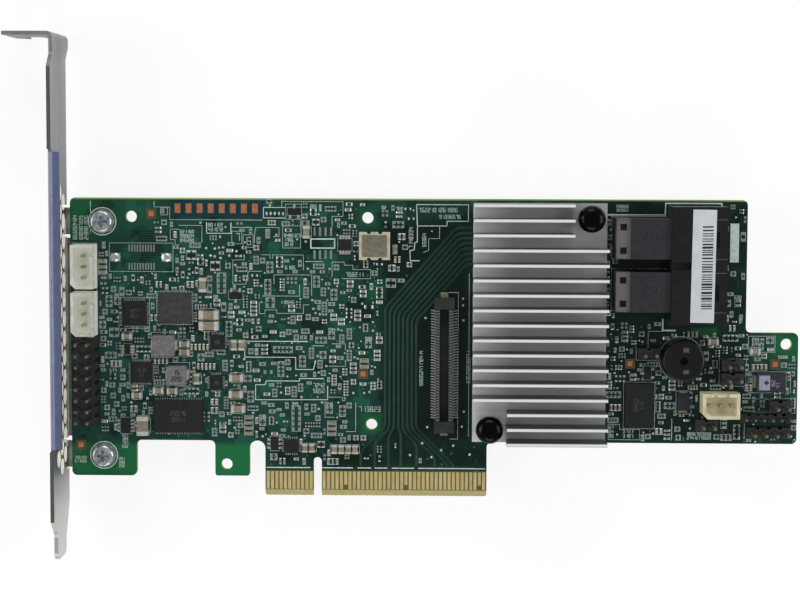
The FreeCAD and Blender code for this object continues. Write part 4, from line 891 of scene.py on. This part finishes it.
# small surface-mount parts: size and length of each metal end in mm, the body's piece, share of the banks
chipKinds = {
    "tanCapacitor": ((1.0, 0.5, 0.5), 0.25, "chip_bodies_tan", 0.2),
    "paleCapacitor": ((1.0, 0.5, 0.5), 0.25, "chip_bodies_pale", 0.14),
    "resistor": ((1.0, 0.5, 0.35), 0.22, "chip_bodies_black", 0.18),
    "largeCapacitor": ((1.6, 0.8, 0.8), 0.35, "chip_bodies_tan", 0.06),
    "largeResistor": ((1.6, 0.8, 0.45), 0.3, "chip_bodies_black", 0.05),
    "tinyCapacitor": ((0.65, 0.35, 0.35), 0.16, "chip_bodies_tan", 0.2),
    "tinyResistor": ((0.65, 0.35, 0.25), 0.16, "chip_bodies_black", 0.17),
}
chipFit = {"padSpread": 0.16, "padThickness": 0.03, "fillet": 0.2}


def placeChip(kind, x, y, alongX, side=1, fitted=True):
    size, end, body, _ = chipKinds[kind]
    length, width, height, end = metres(*size, end)
    spread, pad, fillet = metres(chipFit["padSpread"], chipFit["padThickness"], chipFit["fillet"])
    turn = 0.0 if alongX else math.pi / 2
    z = faceHeight[side]
    places = [("solder_lands", "block", (length + spread - end) / 2, (end + spread * 2, width * 1.08, pad * side)),
              ("chip_ends", "block", (length - end) / 2, (end, width * 1.03, height * 1.03 * side)),
              ("fillets", "ramp", length / 2, (fillet, width * 0.92, height * 0.6 * side))]
    for way in (-1, 1):
        for piece, shape, reach, size in places if fitted else places[:1]:
            px, py = (x + way * reach, y) if alongX else (x, y + way * reach)
            put(piece, shape, px, py, z, size, turn + (math.pi if shape == "ramp" and way == -1 else 0))
    if fitted:
        put(body, "block", x, y, z, (length - end, width, height * side), turn)


# x0, x1, y0, y1 in mm, tries, longest bank, share lying along x, share fitted, vias
zones = [
    ((-50.9, -45.2, 14, 58), 2600, 3, 0.6, 0.45, 90), ((-46, -27, 45, 52), 500, 4, 0.4, 0.8, 30),
    ((-46, -14, 13.4, 46), 3800, 5, 0.45, 0.7, 320), ((-34, -14, 46, 58), 1900, 5, 0.5, 0.75, 180),
    ((-38, 7, 58, 63.6), 900, 4, 0.5, 0.6, 60), ((-12, 10, 60, 68), 700, 4, 0.5, 0.8, 40),
    ((-17.5, 4, 40, 56), 2200, 6, 0.9, 0.25, 200), ((-17.5, 7, 13.4, 38), 2400, 6, 0.85, 0.3, 260),
    ((2, 14, 24, 54), 260, 3, 0.9, 0.9, 240), ((8, 23, 48, 67), 450, 3, 0.4, 0.7, 30),
    ((-11.5, 14, 7, 13.4), 420, 4, 0.3, 0.8, 30), ((22, 34, 54, 63), 60, 3, 0.4, 0.5, 8),
    ((66, 82, 13.2, 40), 1100, 4, 0.5, 0.6, 130), ((80, 110, 13.2, 38), 2800, 4, 0.5, 0.65, 200),
    ((66, 68, 40, 66), 120, 2, 0.3, 0.5, 20), ((92.5, 98, 38, 67), 60, 2, 0.3, 0.4, 16),
    ((12, 38, 7, 13), 12, 2, 0.3, 0.4, 16),
]
backZones = [((-48, 10, 14, 66), 260, 5, 0.5, 0.9, 700), ((20, 98, 16, 66), 320, 5, 0.5, 0.9, 700)]
bankFit = {"gap": 0.42, "tinyGap": 0.28, "endRoom": 0.12, "sideRoom": 0.2, "overhang": 1, "figure": 0.72,
           "figureGap": 0.15, "figureRoom": 0.02, "outlined": 0.7, "emptyOutlined": 0.9}


def onGrid(low, high):
    return round(rng.uniform(low, high) * 4) / 4


def placeBank(box, longest, alongShare, fittedShare, side):
    x0, x1, y0, y1 = box
    kind = rng.choices(list(chipKinds), [share for *_, share in chipKinds.values()])[0]
    length, width, _ = chipKinds[kind][0]
    alongX = rng.random() < alongShare
    count = rng.randint(1, longest)
    pitch = width + (bankFit["gap"] if width > 0.4 else bankFit["tinyGap"])
    long = length + 2 * chipFit["padSpread"] + bankFit["endRoom"]
    wide = (count - 1) * pitch + width + bankFit["sideRoom"]
    x = onGrid(x0, x1)
    y = onGrid(y0, y1)
    sizeX, sizeY = (long, wide) if alongX else (wide, long)
    if x + sizeX > x1 + bankFit["overhang"] or y + sizeY > y1 + bankFit["overhang"]:
        return
    bank = metres(x, x + sizeX, y, y + sizeY)
    if not claim(*bank, side):
        return
    fitted = rng.random() < fittedShare
    for i in range(count):
        across = bankFit["sideRoom"] / 2 + width / 2 + i * pitch
        spot = (x + sizeX / 2, y + across) if alongX else (x + across, y + sizeY / 2)
        placeChip(kind, *metres(*spot), alongX, side, fitted)
    if side == -1:
        return
    if rng.random() < bankFit["outlined" if fitted else "emptyOutlined"]:
        drawBox("legend_fine", *bank, inkZ)
    figures = rng.randint(2, 3)
    height, gap = bankFit["figure"], bankFit["figureGap"]
    span = figures * height * legend["figureStep"] - 0.1
    number = randomFigures(figures)
    for px, py, upright in ((x, y + sizeY + gap, True), (x, y - height - gap, True),
                            (x + sizeX + height + gap, y, False), (x - gap, y, False)):
        left, right = (px, px + span) if upright else (px - height, px)
        top = py + (height if upright else span)
        if claim(*metres(left, right, py, top), side, bankFit["figureRoom"] * mm):
            writeNumber("legend_fine", number, *metres(px, py, height), inkZ, upright)
            return


# mm: half the room a via takes, its widths, heights, and how far a stray run goes before and after its bend
viaFit = {"half": 0.2, "room": 0.05, "widths": (0.38, 0.46, 0.6), "height": 0.06, "tented": 0.5, "tentHeight": 0.03,
          "long": (0.8, 2.6), "short": (0.3, 1.0)}


def scatterVias(box, count, side):
    x0, x1, y0, y1 = box
    for _ in range(count):
        x = onGrid(x0, x1)
        y = onGrid(y0, y1)
        half = viaFit["half"]
        if not claim(*metres(x - half, x + half, y - half, y + half), side, viaFit["room"] * mm):
            continue
        if rng.random() < 0.5:
            piece, shape, wide, high = "test_lands", "dome", rng.choice(viaFit["widths"]), viaFit["height"]
        else:
            piece, shape, wide, high = "tented_vias", "via", viaFit["tented"], viaFit["tentHeight"]
        put(piece, shape, *metres(x, y), faceHeight[side], metres(wide, wide, high * side))


def strayTracks(box, count):
    # short runs between vias, straight with one bend of 45 degrees
    x0, x1, y0, y1 = box
    for _ in range(count):
        x = rng.uniform(x0, x1)
        y = rng.uniform(y0, y1)
        long = rng.uniform(*viaFit["long"])
        short = rng.uniform(*viaFit["short"])
        wayX = rng.choice((-1, 1))
        wayY = rng.choice((-1, 1))
        bend = (x + wayX * long, y) if rng.random() < 0.5 else (x, y + wayY * long)
        end = (bend[0] + wayX * short, bend[1] + wayY * short)
        xs, ys = (sorted(values) for values in zip((x, y), bend, end))
        if claim(*metres(xs[0], xs[2], ys[0], ys[2]), 1, viaFit["room"] * mm):
            draw("tracks", [metres(*spot) for spot in ((x, y), bend, end)], trackZ)


def fillZone(box, tries, longest, alongShare, fittedShare, side):
    for _ in range(tries):
        placeBank(box, longest, alongShare, fittedShare, side)


printLegends()
ringScrewsAndBuzzer()
emptyFootprints()
drawTracks()
for *zone, vias in zones:
    fillZone(*zone, 1)
for box, *_, vias in zones:
    scatterVias(box, vias, 1)
for box, *_, vias in zones:
    strayTracks(box, vias)
for *zone, vias in backZones:
    fillZone(*zone, -1)
    scatterVias(zone[0], vias, -1)
print("legends, tracks and small parts placed")


# mm beyond each lead or end, and between a body and its printed outline
leadSpreads = {"small_chip_leads": 0.16, "ceramic_capacitor_ends": 0.14, "inductor_terminals": 0.2,
               "moulded_terminals": 0.2}
outlineGaps = {"ceramic_capacitors": 0.42, "inductors": 0.5, "small_chip_bodies": 0.2}


def landsUnderLeads():
    for name, spread in leadSpreads.items():
        for low, high in solidsOf(name):
            middle = (low + high) / 2
            size = (high.x - low.x + 2 * spread * mm, high.y - low.y + 2 * spread * mm, 0.03 * mm)
            put("solder_lands", "block", middle.x, middle.y, 0, size)
    for name, gap in outlineGaps.items():
        for low, high in solidsOf(name):
            drawBox("legend_fine", low.x - gap * mm, high.x + gap * mm, low.y - gap * mm, high.y + gap * mm, inkZ)


ribs = {"count": 40, "endRoom": 3.1 * mm, "offMiddle": 1.45 * mm, "size": (0.75, 0.26, 0.02)}


def connectorRibs():
    # the pale ends of the contacts show in two rows beside the cache connector's slot
    low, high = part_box("cache_connector")
    pitch = (high.y - low.y - 2 * ribs["endRoom"]) / (ribs["count"] - 1)
    for i in range(ribs["count"]):
        for way in (-1, 1):
            put("connector_ribs", "block", (low.x + high.x) / 2 + way * ribs["offMiddle"],
                low.y + ribs["endRoom"] + i * pitch, high.z, metres(*ribs["size"]))


# pitch and room at the ends of each side in mm
flatChips = {"power_manager": (0.65, 0.5), "regulator_chips": (0.5, 0.35)}
flatPad = {"size": (0.28, 0.75), "height": 0.12, "reach": 0.12}
flashPad = {"count": 20, "size": (0.24, 0.5, 0.2), "reach": 0.2}


def chipPads():
    # the solder lands that show round the flat chips
    for name, (pitch, inset) in flatChips.items():
        for low, high in solidsOf(name):
            for axis in (0, 1):
                count = int((high[axis] - low[axis] - 2 * inset * mm) / (pitch * mm)) + 1
                start = (low[axis] + high[axis]) / 2 - (count - 1) * pitch * mm / 2
                order = 1 if axis == 0 else -1
                size = flatPad["size"][::order] + (flatPad["height"],)
                for i in range(count):
                    for edge, way in ((low[1 - axis], -1), (high[1 - axis], 1)):
                        spot = (start + i * pitch * mm, edge + way * flatPad["reach"] * mm)[::order]
                        put("solder_lands", "block", *spot, 0, metres(*size))
    low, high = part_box("flash_memory")
    for edge, way in ((low.y, -1), (high.y, 1)):
        for i in range(flashPad["count"]):
            x = low.x + (high.x - low.x) * (i + 0.5) / flashPad["count"]
            put("solder_lands", "block", x, edge + way * flashPad["reach"] * mm, 0, metres(*flashPad["size"]))


# node, which of its solids, piece, figure height in mm, upright, rows of made-up figures
topMarks = [
    ("power_manager", 0, "laser_marks", 0.85, True, ("48210", "0937")),
    ("regulator_chips", 0, "laser_marks", 0.75, True, ("4207", "861")),
    ("regulator_chips", 1, "laser_marks", 0.75, True, ("3310", "52")),
    ("regulator_chips", 2, "laser_marks", 0.75, True, ("66",)),
    ("regulator_chips", 3, "laser_marks", 0.75, True, ("18",)),
    ("flash_memory", 0, "laser_marks", 1.0, True, ("29016", "8841")),
    ("buffer_memory", 0, "laser_marks", 0.9, False, ("70452", "118")),
    ("oscillator_cover", 0, "grey_marks", 0.85, True, ("125000",)),
    ("inductors", 1, "dark_marks", 1.05, True, ("15", "220")),
]


def markTops():
    for name, index, piece, height, upright, figureRows in topMarks:
        low, high = solidsOf(name)[index]
        middle = (low + high) / 2
        for row, figures in enumerate(figureRows):
            back = -(len(figures) * legend["figureStep"] - legend["lastGap"]) * height / 2
            lift = ((len(figureRows) - 1) / 2 - row) * height * legend["markStep"] - height / 2
            x, y = (back, lift) if upright else (-lift, back)
            writeNumber(piece, figures, middle.x + x * mm, middle.y + y * mm, height * mm,
                        high.z + legend["markLift"], upright)


# shares of the label's length and width, bars and gaps in mm
barcode = {"start": 0.122, "end": 0.155, "left": 0.43, "right": 0.86, "bars": (0.22, 0.22, 0.34, 0.5),
           "gaps": (0.2, 0.28, 0.45), "lean": math.radians(0.8)}


def labelBars():
    low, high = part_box("port_label")
    length, width = high.y - low.y, high.x - low.x
    x0, x1 = low.x + barcode["left"] * width, low.x + barcode["right"] * width
    y = low.y + barcode["start"] * length
    while y < high.y - barcode["end"] * length:
        thick = rng.choice(barcode["bars"]) * mm
        shift = (y - low.y) * math.tan(barcode["lean"]) * 0.6
        put("label_bars", "block", (x0 + x1) / 2 + shift - 0.1 * mm, y + thick / 2, high.z,
            (x1 - x0, thick, 0.01 * mm), barcode["lean"])
        y += thick + rng.choice(barcode["gaps"]) * mm


# the first five figures place the painted edge highlights, the rest the lot number
portMarks = {"inset": 0.1 * mm, "highlightReach": 3.6 * mm, "highlightLift": 0.01 * mm, "lineEnd": 0.2 * mm, "lineDrop": 0.68 * mm,
             "lot": "2731", "lotX": 6.2 * mm, "lotY": -0.2 * mm, "figure": 1.4 * mm}


def portDetails():
    # pale strips along the slot edges across the shroud's roof and along each rear housing, painted highlights on those
    # edges, and a made-up lot number on each rear housing
    marks = portMarks
    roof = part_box("port_shroud")[1]
    for name in ("port_housing_1", "port_housing_2"):
        low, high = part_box(name)
        for y in (low.y + marks["inset"], high.y - marks["inset"]):
            draw("shroud_lines", [(roof.x - marks["highlightReach"], y), (roof.x - marks["inset"], y)], roof.z + marks["highlightLift"])
            draw("shroud_lines", [(low.x, y), (high.x - marks["lineEnd"], y)], high.z - marks["lineDrop"])
        writeNumber("housing_marks", marks["lot"], low.x + marks["lotX"], (low.y + high.y) / 2 + marks["lotY"],
                    marks["figure"], high.z)


# mm from the body's left end, sizes, and rows of made-up figures
tantalum = {"field": 1.75, "fieldSize": (2.5, 3.4, 0.012), "sign": 2.2, "bar": (1.2, 0.34), "ink": 0.006,
            "figures": 4.1, "figureStep": 1.1, "figure": 0.8, "rows": ("162", "47")}


def tantalumPrint():
    low, high = max(solidsOf("moulded_bodies"), key=lambda box: box[1].x - box[0].x)
    y = (low.y + high.y) / 2
    put("polarity_field", "block", low.x + tantalum["field"] * mm, y, high.z, metres(*tantalum["fieldSize"]))
    for bar in (tantalum["bar"], tantalum["bar"][::-1]):
        put("polarity_sign", "block", low.x + tantalum["sign"] * mm, y, high.z + tantalum["fieldSize"][2] * mm,
            metres(*bar, tantalum["ink"]))
    for row, figures in enumerate(tantalum["rows"]):
        x = low.x + (tantalum["figures"] + row * tantalum["figureStep"]) * mm
        writeNumber("pale_marks", figures, x, y - 1.1 * mm, tantalum["figure"] * mm, high.z + 0.01 * mm, False)


# mm from the buzzer's middle, and the size of each plate
plates = [(0.5, 2.5, (1.3, 1.1, 0.03)), (0.5, -2.5, (1.3, 0.9, 0.03))]


def buzzerPlates():
    low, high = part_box("buzzer")
    middle = (low + high) / 2
    for x, y, size in plates:
        put("buzzer_plates", "block", middle.x + x * mm, middle.y + y * mm, high.z, metres(*size))


def boardOutline():
    # the longest loop round the board's top face
    mesh = bmesh.new()
    mesh.from_mesh(nodes["board"].data)
    bmesh.ops.remove_doubles(mesh, verts=mesh.verts, dist=0.001 * mm)
    follow = {}
    for edge in mesh.edges:
        tops = [face for face in edge.link_faces if face.normal.z > 0.9]
        level = all(abs(vert.co.z) < 0.001 * mm for vert in edge.verts)
        if len(tops) == 1 and level:
            for loop in edge.link_loops:
                if loop.face is tops[0]:
                    follow[loop.vert] = loop.link_loop_next.vert
    best = []
    while follow:
        loop = [next(iter(follow))]
        ahead = follow.pop(loop[0])
        while ahead in follow:
            loop.append(ahead)
            ahead = follow.pop(ahead)
        if len(loop) > 3 and sum(abs(v.co.x) for v in loop) > sum(abs(v.co.x) for v in best):
            best = loop
    path = [vert.co.xy for vert in best]
    mesh.free()
    return path


margin = {"inset": 0.16 * mm, "lift": 0.006 * mm}


def marginStrip():
    # bare laminate just inside the board's edge
    path = boardOutline()
    moved = []
    for before, here, after in zip(path[-1:] + path, path, path[1:] + path[:1]):
        way = ((here - before).normalized() + (after - here).normalized()).normalized()
        moved.append((here.x - way.y * margin["inset"], here.y + way.x * margin["inset"]))
    draw("board_margin", moved, margin["lift"], True)


landsUnderLeads()
connectorRibs()
chipPads()
markTops()
labelBars()
portDetails()
tantalumPrint()
buzzerPlates()
marginStrip()
print("details on the larger parts placed")


def lineMesh(name, strokes):
    verts = []
    edges = []
    for path, closed in strokes:
        first = len(verts)
        verts += path
        edges += [(first + i, first + i + 1) for i in range(len(path) - 1)]
        if closed:
            edges.append((first + len(path) - 1, first))
    mesh = bpy.data.meshes.new(name)
    mesh.from_pydata(verts, edges, [])
    return mesh


def pointMesh(name, spots):
    # a shape on the back is turned over rather than mirrored
    mesh = bpy.data.meshes.new(name)
    mesh.from_pydata([place for place, size, angle in spots], [], [])
    sizes = [(size[0], size[1], abs(size[2])) for place, size, angle in spots]
    turns = [(math.pi if size[2] < 0 else 0, 0, angle) for place, size, angle in spots]
    for label, values in (("size", sizes), ("turn", turns)):
        attribute = mesh.attributes.new(label, "FLOAT_VECTOR", "POINT")
        attribute.data.foreach_set("vector", [c for vector in values for c in vector])
    return mesh


stripLooks = {  # piece: width, thickness in mm, finish, slot
    "legend_fine": (legend["fine"], legend["thickness"], fineInk, "label_paper"),
    "legend_bold": (legend["bold"], legend["thickness"], silkInk, "label_paper"),
    "legend_thick": (legend["thick"], legend["thickness"], silkInk, "label_paper"),
    "tracks": (trackSizes["width"], trackSizes["thickness"], coveredTrack, "solder_mask_board"),
    "laser_marks": (0.13, 0.01, laserMark, "epoxy_black"),
    "grey_marks": (0.14, 0.01, moulded("greyMark", ("#67635f", "#77726c"), 0.6), "lid_kovar"),
    "dark_marks": (0.2, 0.01, printInk, "ferrite_grey"),
    "pale_marks": (0.14, 0.01, lavenderInk, "epoxy_black"),
    "housing_marks": (0.24, 0.01, printInk, "port_plastic_grey"),
    # painted highlights along the slot edges of the shroud and housings
    "shroud_lines": (0.14, 0.04, moulded("edgeHighlightLine", ("#47474d", "#5a5a60"), 0.5), "port_plastic_grey"),
    "board_margin": (0.32, 0.012, marginLaminate, "solder_mask_board"),
}
pointLooks = {  # piece: finish, slot
    "connector_ribs": (moulded("ribTips", ("#565a58", "#6f7370"), 0.45, toneSize=0.5), "connector_plastic_dark"),
    "land_spots": (metal("cleanCopper", ("#9c6845", "#c58a60"), 0.5, toneSize=0.4, metallic=0.6), "bare_copper"),
    "bare_lands": (tinnedPad, "solder"), "solder_lands": (tinnedPad, "solder"), "fillets": (solder, "solder"),
    "test_lands": (solder, "solder"), "tented_vias": (tentedVia, "solder_mask_board"),
    "chip_ends": (tinnedPad, "solder"), "chip_bodies_tan": (finishes["ceramic_capacitors"], "ceramic_tan"),
    "chip_bodies_pale": (paleCeramic, "ceramic_tan"), "chip_bodies_black": (blackGlaze, "epoxy_black"),
    "legend_fields": (silkInk, "label_paper"), "label_bars": (printInk, "label_paper"),
    "polarity_field": (lavenderInk, "epoxy_black"), "polarity_sign": (printInk, "epoxy_black"),
    "buzzer_plates": (laserMark, "buzzer_plastic"),
}
shapes = {
    "block": keepShape("blockShape", blockShape()),
    "dome": keepShape("domeShape", roundShape([(0.5, 0), (0.46, 0.5), (0.25, 1.0)])),
    "via": keepShape("viaShape", roundShape([(0.5, 0), (0.5, 1.0), (0.3, 1.0), (0.26, 0.2)])),
    "ramp": keepShape("rampShape", rampShape()),
}


def growAll():
    for name, (width, thickness, finish, slotName) in stripLooks.items():
        values = {"Width": width * mm, "Thickness": thickness * mm, "Finish": finish}
        grow(name, lineMesh(name, lines[name]), trees["strips"], values)
    for (name, shape), spots in points.items():
        finish, slotName = pointLooks[name]
        grow(f"{name}_{shape}", pointMesh(name, spots), trees["shapes"],
             {"Shape": shapes[shape], "Finish": finish})
    for shape in shapes.values():
        bpy.data.objects.remove(shape)


growAll()
print("pieces grown")
